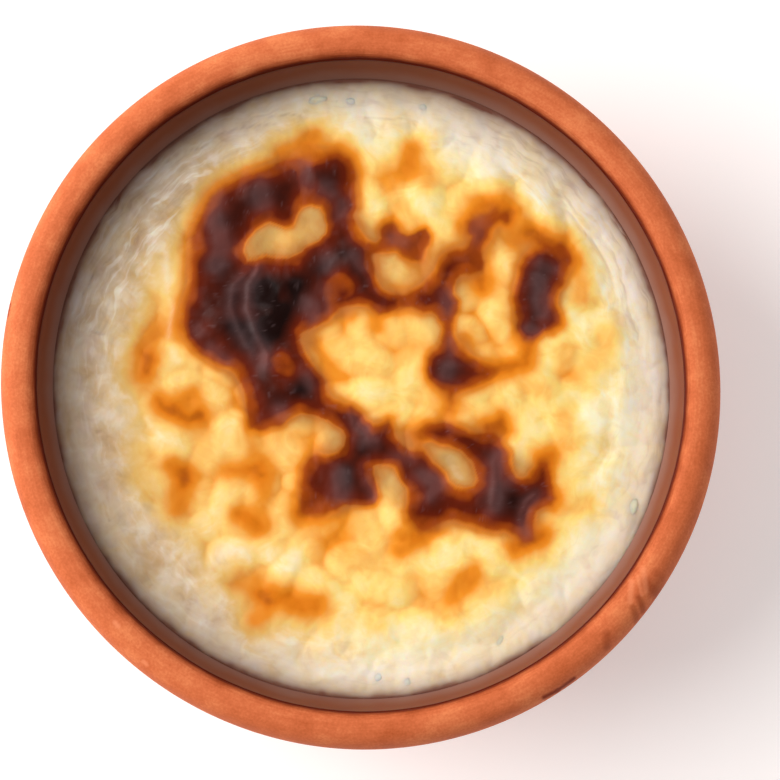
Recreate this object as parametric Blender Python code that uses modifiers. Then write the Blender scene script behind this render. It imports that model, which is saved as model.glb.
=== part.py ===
"""Baked rice pudding in its own small earthenware bowl.

The bowl is a thrown, slightly oval piece of red earthenware: a rolled lip, a straight-flared
belly and a turned foot, glazed inside only. The pudding is one set solid that fills it to a
finger's width under the lip. Its skin is a low plateau that has lifted into burnt blisters
and is knobbed all over by the rice just below it.

Frame: metres, +Z up, origin on the table under the middle of the bowl, +Y away from the eater.
"""

import math
import random

import bmesh
import bpy
from mathutils import Matrix, Vector

MM = 0.001

# Bowl, outside
RIM_RADIUS = 60.0 * MM
BOWL_HEIGHT = 45.0 * MM
LIP_WIDTH = 5.9 * MM
LIP_DEPTH = 8.0 * MM
LIP_LEAN = 0.9 * MM
NECK_RADIUS = 57.4 * MM
FOOT_RADIUS = 39.0 * MM
FOOT_HEIGHT = 4.0 * MM
FOOT_INSET = 1.0 * MM
BASE_RING_WIDTH = 6.5 * MM
BASE_RECESS = 1.0 * MM
FOOT_BEVEL = 0.8 * MM
BELLY_POWER = 0.72
OVALITY = 0.0079
OVAL_DIRECTION = math.radians(-61.0)

# Bowl, inside
FLOOR_HEIGHT = 6.5 * MM
SHOULDER_DROP = 3.0 * MM
WALL_POWER_DEPTH = 1.55
WALL_POWER_RADIUS = 3.4

# Pudding
FILL_HEIGHT = 34.4 * MM
WALL_GAP = 0.3 * MM
EDGE_ROLL_WIDTH = 3.0 * MM
EDGE_ROLL_DROP = 1.1 * MM
SKIN_RADIUS = 48.5 * MM
SKIN_SLOPE_WIDTH = 5.0 * MM
SKIN_RISE = 0.7 * MM

# Rice knobs under the skin: one for each cell of a jittered grid
KNOB_PITCH = 5.4 * MM
KNOB_JITTER = 1.6 * MM
KNOB_RADIUS = (1.9 * MM, 2.9 * MM)
KNOB_HEIGHT = (0.25 * MM, 0.7 * MM)
KNOB_SEED = 11

# Burnt blisters of lifted skin: centre x, centre y, radius and height, in millimetres
BLISTERS = (
    (-24, 27, 4.5, 0.8),
    (-17, 34, 4.5, 0.8),
    (-6, 36, 4.5, 0.9),
    (-24, 14, 6.0, 0.9),
    (-13, 15, 6.5, 1.1),
    (-2, 22, 3.5, 0.8),
    (-14, 0, 5.0, 0.9),
    (2, -8, 3.0, 0.7),
    (-4, -16, 5.0, 0.9),
    (14, 4, 3.5, 0.8),
    (14, 18, 4.0, 0.6),
    (30, 17, 4.5, 0.9),
    (16, -8, 4.0, 0.7),
    (11, -18, 4.0, 0.8),
    (24, -17, 5.0, 1.0),
)

# Pale dimples left between the blisters: centre x, centre y, radius and depth, in millimetres
DIMPLES = (
    (-15, 25, 3.0, 0.7),
    (-9, 28, 3.0, 0.7),
    (15, -13, 3.0, 0.7),
    (4.5, -15, 2.2, 0.6),
)

# Facets
BOWL_SEGMENTS = 60
SKIN_CELLS = 40
WALL_STEPS = 9
BELLY_STEPS = 7
LIP_STEPS = 12
MERGE = 0.01 * MM


def between(low, high, share):
    """The value at that share of the way from low to high."""
    return low + (high - low) * share


def smooth_share(value, low, high):
    """0 below low, 1 above high, and an S-shaped ramp between them."""
    share = min(max((value - low) / (high - low), 0.0), 1.0)
    return share * share * (3.0 - 2.0 * share)


def mouth():
    """Radius and height of the top of the inner wall, where the lip begins."""
    return RIM_RADIUS - LIP_WIDTH, BOWL_HEIGHT - SHOULDER_DROP


def inner_wall(angle):
    """A point of the bowl's inner surface: angle 0 is the mouth and 90 degrees the floor's middle."""
    radius, top = mouth()
    sine = max(math.sin(angle), 0.0)
    cosine = max(math.cos(angle), 0.0)
    depth = (top - FLOOR_HEIGHT) * sine ** (2.0 / WALL_POWER_DEPTH)
    return radius * cosine ** (2.0 / WALL_POWER_RADIUS), top - depth


def inner_radius(height):
    """The bowl's inner radius at a height between the floor and the mouth."""
    radius, top = mouth()
    depth_share = (top - height) / (top - FLOOR_HEIGHT)
    return radius * (1.0 - depth_share**WALL_POWER_DEPTH) ** (1.0 / WALL_POWER_RADIUS)


def inner_points():
    """The rings of the bowl's inner surface, from its mouth down to the middle of the floor."""
    return [inner_wall(math.pi / 2.0 * step / WALL_STEPS) for step in range(WALL_STEPS + 1)]


def lip_points():
    """The rolled lip, from the mouth over the top to the neck under it, as a leaning oval."""
    middle_radius = RIM_RADIUS - LIP_WIDTH / 2.0
    middle_height = BOWL_HEIGHT - LIP_DEPTH / 2.0
    points = []
    for step in range(1, LIP_STEPS + 1):
        angle = math.radians(between(170.0, -70.0, step / LIP_STEPS))
        lean = LIP_LEAN * math.sin(angle)
        points.append(
            (
                middle_radius + LIP_WIDTH / 2.0 * math.cos(angle) - lean,
                middle_height + LIP_DEPTH / 2.0 * math.sin(angle),
            )
        )
    return points


def belly_points():
    """The outer wall, from the neck under the lip down to the top of the foot."""
    neck_height = BOWL_HEIGHT - LIP_DEPTH
    points = []
    for step in range(BELLY_STEPS + 1):
        share = 1.0 - step / BELLY_STEPS
        height = between(FOOT_HEIGHT, neck_height, share)
        points.append((between(FOOT_RADIUS, NECK_RADIUS, share**BELLY_POWER), height))
    return points


def foot_points():
    """The turned foot: a short upright side, a bevel, the ring it stands on and a shallow recess."""
    side = FOOT_RADIUS - FOOT_INSET
    ring_inside = side - BASE_RING_WIDTH
    return [
        (side, FOOT_HEIGHT - FOOT_INSET),
        (side, FOOT_BEVEL),
        (side - FOOT_BEVEL, 0.0),
        (ring_inside, 0.0),
        (ring_inside - BASE_RECESS, BASE_RECESS),
        (0.0, BASE_RECESS),
    ]


def bowl_profile():
    """The bowl's half section, from the middle of its floor over the lip to the middle of its base."""
    return inner_points()[::-1] + lip_points() + belly_points() + foot_points()


def edge_radius():
    """Radius of the pudding's upper edge, a gap inside the wall."""
    return inner_radius(FILL_HEIGHT - EDGE_ROLL_DROP) - WALL_GAP


def pudding_side():
    """Radius and height of each ring of the pudding's side: the bowl's own rings, a gap inside them."""
    edge_height = FILL_HEIGHT - EDGE_ROLL_DROP
    wall = inner_points()
    rings = []
    for above, ring, below in zip(wall, wall[1:], wall[2:]):
        along = Vector((below[0] - above[0], below[1] - above[1])).normalized()
        radius, height = ring[0] + along.y * WALL_GAP, ring[1] - along.x * WALL_GAP
        if height < edge_height - WALL_GAP:
            rings.append((radius, height))
    return rings


def turned(name, profile):
    """A closed mesh object made by turning a half section around the Z axis."""
    mesh = bpy.data.meshes.new(name + "_profile")
    edges = [(index, index + 1) for index in range(len(profile) - 1)]
    mesh.from_pydata([(radius, 0.0, height) for radius, height in profile], edges, [])
    blank = bpy.data.objects.new(name + "_blank", mesh)
    bpy.context.scene.collection.objects.link(blank)
    screw = blank.modifiers.new("turn", "SCREW")
    screw.axis = "Z"
    screw.angle = math.tau
    screw.steps = BOWL_SEGMENTS
    screw.render_steps = BOWL_SEGMENTS
    screw.use_merge_vertices = True
    screw.merge_threshold = MERGE
    screw.use_smooth_shade = True
    evaluated = blank.evaluated_get(bpy.context.evaluated_depsgraph_get())
    solid = bpy.data.meshes.new_from_object(evaluated)
    bpy.data.objects.remove(blank)
    solid.name = name
    solid.transform(oval_matrix())
    return bpy.data.objects.new(name, solid)


def square_to_disc(across, along):
    """Maps the square from -1 to 1 onto the unit disc, so that its grid lines become even rings."""
    if across == 0.0 and along == 0.0:
        return Vector((0.0, 0.0, 0.0))
    if abs(across) >= abs(along):
        radius, angle = across, math.pi / 4.0 * along / across
    else:
        radius, angle = along, math.pi / 2.0 - math.pi / 4.0 * across / along
    return Vector((radius * math.cos(angle), radius * math.sin(angle), 0.0))


def filled_pudding(name):
    """The pudding: a round grid of skin, lifted into its relief, with its side drawn down the wall."""
    shape = bmesh.new()
    bmesh.ops.create_grid(shape, x_segments=SKIN_CELLS, y_segments=SKIN_CELLS, size=1.0)
    knobs = rice_knobs()
    for vertex in shape.verts:
        place = square_to_disc(vertex.co.x, vertex.co.y) * edge_radius()
        place.z = FILL_HEIGHT + skin_relief(place.x, place.y, knobs)
        vertex.co = place
    bmesh.ops.triangulate(shape, faces=shape.faces, quad_method="BEAUTY")
    rim = [edge for edge in shape.edges if edge.is_boundary]
    for radius, height in pudding_side():
        drawn = bmesh.ops.extrude_edge_only(shape, edges=rim)["geom"]
        for vertex in (item for item in drawn if isinstance(item, bmesh.types.BMVert)):
            direction = Vector((vertex.co.x, vertex.co.y, 0.0)).normalized()
            vertex.co = direction * radius + Vector((0.0, 0.0, height))
        rim = [item for item in drawn if isinstance(item, bmesh.types.BMEdge) and item.is_boundary]
    bmesh.ops.edgeloop_fill(shape, edges=rim)
    bmesh.ops.recalc_face_normals(shape, faces=shape.faces)
    solid = bpy.data.meshes.new(name)
    shape.to_mesh(solid)
    shape.free()
    solid.transform(oval_matrix())
    return bpy.data.objects.new(name, solid)


def oval_matrix():
    """Stretches a round piece along the oval's long direction and narrows it across."""
    turn = Matrix.Rotation(OVAL_DIRECTION, 4, "Z")
    stretch = Matrix.Diagonal((1.0 + OVALITY, 1.0 - OVALITY, 1.0, 1.0))
    return turn @ stretch @ turn.transposed()


def mound(x, y, centre_x, centre_y, radius):
    """A round hump of height 1 that fades out at about one and a half radii."""
    distance_squared = (x - centre_x) ** 2 + (y - centre_y) ** 2
    return math.exp(-1.4 * distance_squared / radius**2)


def rice_knobs():
    """Centre, radius and height of each knob, from a jittered grid of staggered rows."""
    shake = random.Random(KNOB_SEED)
    rows = int(SKIN_RADIUS / KNOB_PITCH) + 2
    knobs = []
    for row in range(-rows, rows + 1):
        stagger = 0.5 * KNOB_PITCH * (row % 2)
        for column in range(-rows, rows + 1):
            x = column * KNOB_PITCH + stagger + shake.uniform(-KNOB_JITTER, KNOB_JITTER)
            y = row * KNOB_PITCH + shake.uniform(-KNOB_JITTER, KNOB_JITTER)
            radius = shake.uniform(*KNOB_RADIUS)
            height = shake.uniform(*KNOB_HEIGHT)
            if math.hypot(x, y) < SKIN_RADIUS:
                knobs.append((x, y, radius, height))
    return knobs


def skin_relief(x, y, knobs):
    """Height of the skin above the fill line at a place on it."""
    distance = math.hypot(x, y)
    roll = max(1.0 - (edge_radius() - distance) / EDGE_ROLL_WIDTH, 0.0)
    height = -EDGE_ROLL_DROP * roll**2
    on_skin = 1.0 - smooth_share(distance, SKIN_RADIUS - SKIN_SLOPE_WIDTH, SKIN_RADIUS)
    height += SKIN_RISE * on_skin
    for knob_x, knob_y, radius, rise in knobs:
        height += rise * mound(x, y, knob_x, knob_y, radius) * between(0.4, 1.0, on_skin)
    for blister_x, blister_y, radius, rise in BLISTERS:
        height += rise * MM * mound(x, y, blister_x * MM, blister_y * MM, radius * MM)
    for dimple_x, dimple_y, radius, drop in DIMPLES:
        height -= drop * MM * mound(x, y, dimple_x * MM, dimple_y * MM, radius * MM)
    return height


def plain_material(name, colour, roughness):
    """A Principled material of one colour."""
    material = bpy.data.materials.new(name)
    material.use_nodes = True
    shader = material.node_tree.nodes["Principled BSDF"]
    shader.inputs["Base Color"].default_value = (*colour, 1.0)
    shader.inputs["Roughness"].default_value = roughness
    shader.inputs["Metallic"].default_value = 0.0
    return material


def finish(part, collection, material, crease):
    """Puts a piece in the model's collection, with its material and shading."""
    part.data.materials.clear()
    part.data.materials.append(material)
    part.data.shade_smooth()
    part.data.set_sharp_from_angle(angle=math.radians(crease))
    collection.objects.link(part)


def main():
    """Builds the bowl and the pudding in it."""
    for old in list(bpy.data.objects):
        bpy.data.objects.remove(old)
    collection = bpy.data.collections.new("rice_pudding")
    bpy.context.scene.collection.children.link(collection)
    earthenware = plain_material("red_earthenware", (0.60, 0.14, 0.05), 0.75)
    baked_milk = plain_material("baked_milk_pudding", (0.87, 0.66, 0.36), 0.40)
    finish(turned("bowl", bowl_profile()), collection, earthenware, crease=35.0)
    finish(filled_pudding("pudding"), collection, baked_milk, crease=60.0)


main()
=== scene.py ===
"""Studio scene of a baked rice pudding in a small red earthenware bowl.

The bowl is thrown by a Geometry Nodes lathe and glazed inside. The pudding is a fine round mesh
whose relief and browning are worked out from its rice, its blisters and its scorch marks.
"""

from __future__ import annotations

import logging
import math
from dataclasses import dataclass
from enum import Enum

import bmesh
import bpy
import numpy as np
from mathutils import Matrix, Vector

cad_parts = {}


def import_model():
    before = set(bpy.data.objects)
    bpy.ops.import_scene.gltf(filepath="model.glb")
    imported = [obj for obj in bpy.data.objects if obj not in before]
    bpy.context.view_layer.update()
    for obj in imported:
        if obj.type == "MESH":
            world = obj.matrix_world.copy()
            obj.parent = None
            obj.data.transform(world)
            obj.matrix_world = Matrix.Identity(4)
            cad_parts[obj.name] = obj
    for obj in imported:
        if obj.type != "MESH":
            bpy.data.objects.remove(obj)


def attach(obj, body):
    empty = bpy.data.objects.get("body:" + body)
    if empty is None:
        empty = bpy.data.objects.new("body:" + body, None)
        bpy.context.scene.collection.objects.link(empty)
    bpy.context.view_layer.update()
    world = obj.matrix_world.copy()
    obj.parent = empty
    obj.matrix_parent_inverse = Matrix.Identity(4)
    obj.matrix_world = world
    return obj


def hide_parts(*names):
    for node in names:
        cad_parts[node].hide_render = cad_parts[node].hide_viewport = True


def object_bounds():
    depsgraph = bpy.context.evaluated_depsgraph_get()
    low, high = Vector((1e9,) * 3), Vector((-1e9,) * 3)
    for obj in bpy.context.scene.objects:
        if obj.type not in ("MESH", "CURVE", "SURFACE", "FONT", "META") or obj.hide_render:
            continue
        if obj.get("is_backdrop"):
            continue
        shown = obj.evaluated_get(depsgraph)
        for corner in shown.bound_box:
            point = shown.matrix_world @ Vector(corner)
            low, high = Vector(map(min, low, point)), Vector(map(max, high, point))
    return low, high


log = logging.getLogger("rice_pudding")

MM = 0.001
TOTAL_TURN = math.tau
SOFTLY = {"interpolation_type": "SMOOTHSTEP"}
Array = np.ndarray
Pair = tuple[float, float]
Point = tuple[float, float, float]
Path = tuple[Point, ...]
Material = bpy.types.Material
Socket = bpy.types.NodeSocket
Tree = bpy.types.NodeTree


# ---- small tools


def linear(code: str) -> tuple[float, float, float, float]:
    """Turns an sRGB hex code such as "C8643C" into a linear RGBA colour.

    Args:
        code: Six hex digits.

    Returns:
        Linear red, green, blue and an alpha of 1.
    """
    channels = [int(code[start : start + 2], 16) / 255.0 for start in (0, 2, 4)]
    flat = [c / 12.92 if c <= 0.04045 else ((c + 0.055) / 1.055) ** 2.4 for c in channels]
    return (flat[0], flat[1], flat[2], 1.0)


def add_node(
    tree: Tree,
    kind: str,
    inputs: dict[str | int, object] | tuple[object, ...] = (),
    stops: tuple[tuple[float, str], ...] = (),
    **settings: object,
) -> bpy.types.Node:
    """Adds a node with its settings, and gives its inputs values or links.

    Args:
        tree: The node tree that gets the node.
        kind: The node's type, such as "ShaderNodeMath".
        inputs: Values, or the outputs that feed the node, in order or by input name or number.
        stops: For a colour ramp, its positions and sRGB hex codes.
        **settings: The node's own properties, such as operation="ADD".

    Returns:
        The new node.
    """
    node = tree.nodes.new(kind)
    for name, value in settings.items():
        setattr(node, name, value)
    for key, value in inputs.items() if isinstance(inputs, dict) else enumerate(inputs):
        if isinstance(value, Socket):
            tree.links.new(value, node.inputs[key])
        else:
            node.inputs[key].default_value = value
    if stops:
        elements = node.color_ramp.elements
        while len(elements) < len(stops):
            elements.new(1.0)
        for element, (position, code) in zip(elements, stops):
            element.position = position
            element.color = linear(code)
    return node


def new_material(name: str) -> tuple[Material, Tree, bpy.types.Node, Socket]:
    """Starts a material that is drawn in the piece's own space.

    Args:
        name: The material's name.

    Returns:
        The material, its node tree, its Principled node and the place on the piece.
    """
    material = bpy.data.materials.new(name)
    material.use_nodes = True
    tree = material.node_tree
    place = add_node(tree, "ShaderNodeTexCoord").outputs["Object"]
    return material, tree, tree.nodes["Principled BSDF"], place


def drawn_round(tree: Tree, place: Socket, radius: float, size: Pair) -> Socket:
    """Noise drawn out around the bowl's axis, as a wheel or a spoon leaves it.

    Args:
        tree: The node tree.
        place: Object coordinates.
        radius: Radius at which the streaks have their stated length.
        size: How wide a streak is, and how long it is along the turn.

    Returns:
        Noise from 0 to 1.
    """
    width, length = size
    kind = "ShaderNodeVectorMath"
    flat = add_node(tree, kind, (place, (1.0, 1.0, 0.0)), operation="MULTIPLY").outputs[0]
    height = add_node(tree, "ShaderNodeSeparateXYZ", (place,)).outputs[2]
    away = add_node(tree, kind, (flat,), operation="LENGTH").outputs["Value"]
    around = add_node(tree, kind, (flat,), operation="NORMALIZE").outputs[0]
    turned = {0: around, "Scale": radius / length}
    turns = add_node(tree, kind, turned, operation="SCALE").outputs[0]
    across = add_node(tree, "ShaderNodeMath", (away, height), operation="ADD").outputs[0]
    layers = add_node(tree, "ShaderNodeMath", (across, 1.0 / width), operation="MULTIPLY").outputs[0]
    stacked = add_node(tree, "ShaderNodeCombineXYZ", {2: layers}).outputs[0]
    along = add_node(tree, kind, (turns, stacked), operation="ADD").outputs[0]
    drawn = {"Vector": along, "Scale": 1.0, "Detail": 3.0}
    return add_node(tree, "ShaderNodeTexNoise", drawn).outputs["Fac"]


def weighed(tree: Tree, *parts: tuple[Socket, Socket | float]) -> Socket:
    """Adds up values, each times its weight, which may be a value from another node."""
    total: object = 0.0
    for socket, weight in parts:
        step = (socket, weight, total)
        total = add_node(tree, "ShaderNodeMath", step, operation="MULTIPLY_ADD").outputs[0]
    return total


def layered(tree: Tree, colour: Socket, *layers: tuple[Socket, str]) -> Socket:
    """Lays colours over a colour, one after another.

    Args:
        tree: The node tree.
        colour: The colour at the bottom.
        *layers: How much of each colour shows, from 0 to 1, and its sRGB hex code.

    Returns:
        The colour that shows in the end.
    """
    for share, code in layers:
        mixed = {0: share, 6: colour, 7: linear(code)}
        colour = add_node(tree, "ShaderNodeMix", mixed, data_type="RGBA").outputs[2]
    return colour


def smooth(share: Array | float) -> Array | float:
    """An S-shaped ramp: 0 at and below 0, 1 at and above 1."""
    held = np.clip(share, 0.0, 1.0)
    return held * held * (3.0 - 2.0 * held)


def ramp(value: Array | float, start: float, end: float) -> Array | float:
    """An S-shaped ramp over a value: 0 at the start and before, 1 at the end and past it."""
    return smooth((value - start) / (end - start))


def value_noise(x: Array, y: Array, cell: float, seed: int) -> Array:
    """Smooth noise on a square lattice.

    Args:
        x: Places across, in the same unit as cell.
        y: Places along.
        cell: Size of a lattice cell.
        seed: Seed of the lattice's values.

    Returns:
        Values from -1 to 1, one for each place.
    """
    count = 128
    lattice = np.random.default_rng(seed).uniform(-1.0, 1.0, (count, count))
    across, along = x / cell + count / 2.0, y / cell + count / 2.0
    column, row = np.floor(across).astype(int), np.floor(along).astype(int)
    blend_x, blend_y = smooth(across - column), smooth(along - row)
    left, right, low, high = column % count, (column + 1) % count, row % count, (row + 1) % count
    lower = lattice[left, low] * (1.0 - blend_x) + lattice[right, low] * blend_x
    upper = lattice[left, high] * (1.0 - blend_x) + lattice[right, high] * blend_x
    return lower * (1.0 - blend_y) + upper * blend_y


@dataclass(frozen=True)
class Noise:
    """Smooth noise in millimetres: how far it swings, the size of its cells and its seed."""

    swing: float
    cell: float
    seed: int

    def at(self, x: Array, y: Array) -> Array:
        """The noise at some places."""
        return self.swing * value_noise(x, y, self.cell, self.seed)


def leg_distance(x: Array, y: Array, leg: tuple[Point, Point]) -> tuple[Array, Array]:
    """Distance from one straight leg of a path.

    Args:
        x, y: Places across and along, in millimetres.
        leg: The leg's two ends, each an x, a y and a width.

    Returns:
        The distance, and the leg's width at its nearest point.
    """
    (start_x, start_y, start_width), (end_x, end_y, end_width) = leg
    step_x, step_y = end_x - start_x, end_y - start_y
    squared = max(step_x**2 + step_y**2, 1e-9)
    share = np.clip(((x - start_x) * step_x + (y - start_y) * step_y) / squared, 0.0, 1.0)
    gap = np.hypot(x - start_x - share * step_x, y - start_y - share * step_y)
    return gap, start_width + (end_width - start_width) * share


def stroke_distance(x: Array, y: Array, path: Path) -> Array:
    """Distance from a stroke of changing width, negative inside it.

    Args:
        x, y: Places across and along, in millimetres.
        path: The stroke's points: x, y and half width, in millimetres.

    Returns:
        Distance from the stroke's outline, in millimetres.
    """
    nearest = np.full(x.shape, np.inf)
    for leg in zip(path, path[1:]):
        gap, half_width = leg_distance(x, y, leg)
        nearest = np.minimum(nearest, gap - half_width)
    return nearest


def outline_distance(x: Array, y: Array, outline: Path) -> tuple[Array, Array]:
    """Distance from a closed outline, negative inside it.

    Args:
        x, y: Places across and along, in millimetres.
        outline: The outline's corners: x, y and the width of its fade, in millimetres.

    Returns:
        The distance, and the width of the fade at the nearest place on the outline.
    """
    nearest, fade = np.full(x.shape, np.inf), np.ones(x.shape)
    inside = np.zeros(x.shape, dtype=bool)
    for leg in zip(outline, outline[1:] + outline[:1]):
        gap, width = leg_distance(x, y, leg)
        fade = np.where(gap < nearest, width, fade)
        nearest = np.minimum(nearest, gap)
        (start_x, start_y, _), (end_x, end_y, _) = leg
        if start_y != end_y:
            slope = (end_x - start_x) / (end_y - start_y)
            beside = x < start_x + (y - start_y) * slope
            inside ^= ((start_y > y) != (end_y > y)) & beside
    return np.where(inside, -nearest, nearest), fade


def new_object(name: str, data: bpy.types.ID) -> bpy.types.Object:
    """Links a mesh, a lamp or a camera into the scene as a new object."""
    piece = bpy.data.objects.new(name, data)
    bpy.context.scene.collection.objects.link(piece)
    return piece


def node_sockets(tree: Tree, given: dict[str, str], made: str) -> None:
    """Names what a Geometry Nodes tree takes in, and the geometry that it makes."""
    for name, kind in given.items():
        tree.interface.new_socket(name, in_out="INPUT", socket_type="NodeSocket" + kind)
    tree.interface.new_socket(made, in_out="OUTPUT", socket_type="NodeSocketGeometry")


def grown(holder: bpy.types.Object, tree: Tree, name: str, values: dict[str, object]) -> bpy.types.Mesh:
    """Runs a Geometry Nodes tree on an object and keeps the result as a plain mesh.

    Args:
        holder: The object to run it on, which is removed afterwards.
        tree: The node tree.
        name: The new mesh's name.
        values: The tree's inputs by name.

    Returns:
        The new mesh.
    """
    modifier = holder.modifiers.new(tree.name, "NODES")
    modifier.node_group = tree
    for item in tree.interface.items_tree:
        if item.in_out == "INPUT" and item.name in values:
            modifier[item.identifier] = values[item.name]
    evaluated = holder.evaluated_get(bpy.context.evaluated_depsgraph_get())
    mesh = bpy.data.meshes.new_from_object(evaluated)
    mesh.name = name
    bpy.data.objects.remove(holder)
    return mesh


def face_outwards(mesh: bpy.types.Mesh, merged: float = 0.0) -> None:
    """Turns a closed mesh's faces outwards, after merging points nearer than a distance."""
    shape = bmesh.new()
    shape.from_mesh(mesh)
    if merged:
        bmesh.ops.remove_doubles(shape, verts=shape.verts, dist=merged)
    bmesh.ops.recalc_face_normals(shape, faces=shape.faces)
    shape.to_mesh(mesh)
    shape.free()


def carry(mesh: bpy.types.Mesh, name: str, values: Array) -> None:
    """Gives each of a mesh's points a value of its own."""
    values = np.ascontiguousarray(values, dtype=np.float32)
    mesh.attributes.new(name, "FLOAT", "POINT").data.foreach_set("value", values)


def hand_over(piece: bpy.types.Object, replaced: str | None = None) -> None:
    """Fixes a finished piece to the frame and reports it.

    Args:
        piece: The finished piece.
        replaced: The frame's node that it stands for, if any.
    """
    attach(piece, "root")
    if replaced:
        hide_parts(replaced)
    log.info("%s: %d faces", piece.name, len(piece.data.polygons))


class Slot(Enum):
    """Names of two material slots, earthenware and baked pudding; no piece takes its finish from them."""

    EARTHENWARE = "earthenware"
    PUDDING = "baked_pudding"


# ---- finishes


@dataclass(frozen=True)
class Scuff:
    """A streak across the rim, paler (tone 1) or darker (tone -1) than the clay, in millimetres."""

    tone: float
    start: Pair
    end: Pair
    half_width: float


@dataclass(frozen=True)
class RedEarthenware:
    """Unglazed red earthenware, thrown and low fired: dry, matt, faintly ringed and mottled."""

    body: str = "CF6B40"
    pale: str = "E68856"
    dark: str = "B4552B"
    # Dark red-brown of glaze seeped into the clay, also used as painted shade on the lip's inner side
    soak_and_shade: str = "641803"
    scuffed_dark: str = "8A3210"
    scuffed_pale: str = "F09468"
    ring: Pair = (1.3 * MM, 16.0 * MM)
    scratch: Pair = (0.35 * MM, 3.2 * MM)
    grit: float = 0.40 * MM
    mottle: float = 6.0 * MM
    radius: float = 57.0 * MM
    soak_and_shade_heights: Pair = (43.8 * MM, 45.6 * MM)
    inner_side: Pair = (55.2 * MM, 56.4 * MM)
    lip_heights: Pair = (40.5 * MM, 42.3 * MM)
    scuffs: tuple[Scuff, ...] = ()

    def material(self) -> Material:
        """Makes the material: streaks follow the wheel, mottling follows the firing."""
        material, tree, shader, place = new_material("red_earthenware")
        rings = drawn_round(tree, place, self.radius, self.ring)
        scratches = drawn_round(tree, place, self.radius, self.scratch)
        spots = ({"Scale": 1.0 / self.mottle, "Detail": 4.0}, {"Scale": 1.0 / self.grit, "Detail": 2.0})
        mottle, grit = (
            add_node(tree, "ShaderNodeTexNoise", {"Vector": place, **spot}).outputs["Fac"]
            for spot in spots
        )
        tone = weighed(tree, (rings, 0.22), (scratches, 0.18), (mottle, 0.60), (grit, 0.30))
        stops = ((0.42, self.dark), (0.65, self.body), (0.88, self.pale))
        colour = add_node(tree, "ShaderNodeValToRGB", {"Fac": tone}, stops).outputs["Color"]
        height = add_node(tree, "ShaderNodeSeparateXYZ", (place,)).outputs[2]
        lip = (height, *self.lip_heights, 0.0, 1.0)
        on_lip = add_node(tree, "ShaderNodeMapRange", lip, **SOFTLY).outputs[0]
        for sign, code in ((-1.0, self.scuffed_dark), (1.0, self.scuffed_pale)):
            streaks = [(self.streak(tree, place, s), 1.0) for s in self.scuffs if s.tone * sign > 0.0]
            share = weighed(tree, *streaks)
            shown = add_node(tree, "ShaderNodeMath", (share, on_lip), operation="MULTIPLY").outputs[0]
            colour = layered(tree, colour, (shown, code))
        # Dark band on the inner side of the lip: seeped glaze and painted shade
        soak_and_shade = self.soak_and_shade_share(tree, place, height, scratches, mottle)
        soak_and_shade = add_node(tree, "ShaderNodeMath", (soak_and_shade, on_lip), operation="MULTIPLY").outputs[0]
        tree.links.new(layered(tree, colour, (soak_and_shade, self.soak_and_shade)), shader.inputs["Base Color"])
        rough = add_node(tree, "ShaderNodeMapRange", (mottle, 0.3, 0.7, 0.6, 0.75), **SOFTLY)
        tree.links.new(rough.outputs[0], shader.inputs["Roughness"])
        relief = weighed(tree, (grit, 0.55), (rings, 0.5), (scratches, 0.35))
        raised = {"Height": relief, "Strength": 0.30, "Distance": 0.18 * MM}
        tree.links.new(add_node(tree, "ShaderNodeBump", raised).outputs[0], shader.inputs["Normal"])
        shader.inputs["IOR"].default_value = 1.45
        shader.inputs["Specular IOR Level"].default_value = 0.1
        return material

    def soak_and_shade_share(
        self, tree: Tree, place: Socket, height: Socket, scratches: Socket, mottle: Socket
    ) -> Socket:
        """How far glaze has seeped into the inner side of the lip, together with painted shade where the lip
        turns down into shadow, from 0 to 1.

        Args:
            tree: The node tree.
            place: Object coordinates.
            height: Their height.
            scratches: The wheel's scratches, which the glaze runs into.
            mottle: The clay's mottling, which it follows too.

        Returns:
            The share that the dark seeped-glaze colour takes, which also paints the shade.
        """
        flat = add_node(tree, "ShaderNodeVectorMath", (place, (1.0, 1.0, 0.0)), operation="MULTIPLY")
        away = add_node(tree, "ShaderNodeVectorMath", (flat.outputs[0],), operation="LENGTH")
        inner = (away.outputs["Value"], *self.inner_side, 1.0, 0.0)
        inward = add_node(tree, "ShaderNodeMapRange", inner, **SOFTLY).outputs[0]
        level = weighed(tree, (height, 1.0), (scratches, 0.6 * MM), (mottle, 0.8 * MM))
        low = (level, *self.soak_and_shade_heights, 1.0, 0.0)
        wet = add_node(tree, "ShaderNodeMapRange", low, **SOFTLY).outputs[0]
        return add_node(tree, "ShaderNodeMath", (wet, inward), operation="MULTIPLY").outputs[0]

    def streak(self, tree: Tree, place: Socket, scuff: Scuff) -> Socket:
        """How strongly one scuff shows at each place.

        Args:
            tree: The node tree.
            place: Object coordinates.
            scuff: The scuff.

        Returns:
            The size of its tone along its middle line, and 0 away from it.
        """
        start, end = Vector((*scuff.start, 0.0)) * MM, Vector((*scuff.end, 0.0)) * MM
        step, kind = end - start, "ShaderNodeVectorMath"
        flat = add_node(tree, kind, (place, (1.0, 1.0, 0.0)), operation="MULTIPLY").outputs[0]
        away = add_node(tree, kind, (flat, start), operation="SUBTRACT").outputs[0]
        per_length = step / step.length_squared
        share = add_node(tree, kind, (away, per_length), operation="DOT_PRODUCT").outputs["Value"]
        held = add_node(tree, "ShaderNodeMath", (share, 0.0), operation="ADD", use_clamp=True)
        foot = add_node(tree, kind, {0: step, "Scale": held.outputs[0]}, operation="SCALE").outputs[0]
        gap = add_node(tree, kind, (away, foot), operation="DISTANCE").outputs["Value"]
        width = scuff.half_width * MM
        faded = (gap, 0.2 * width, 1.6 * width, abs(scuff.tone), 0.0)
        return add_node(tree, "ShaderNodeMapRange", faded, **SOFTLY).outputs[0]


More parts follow.
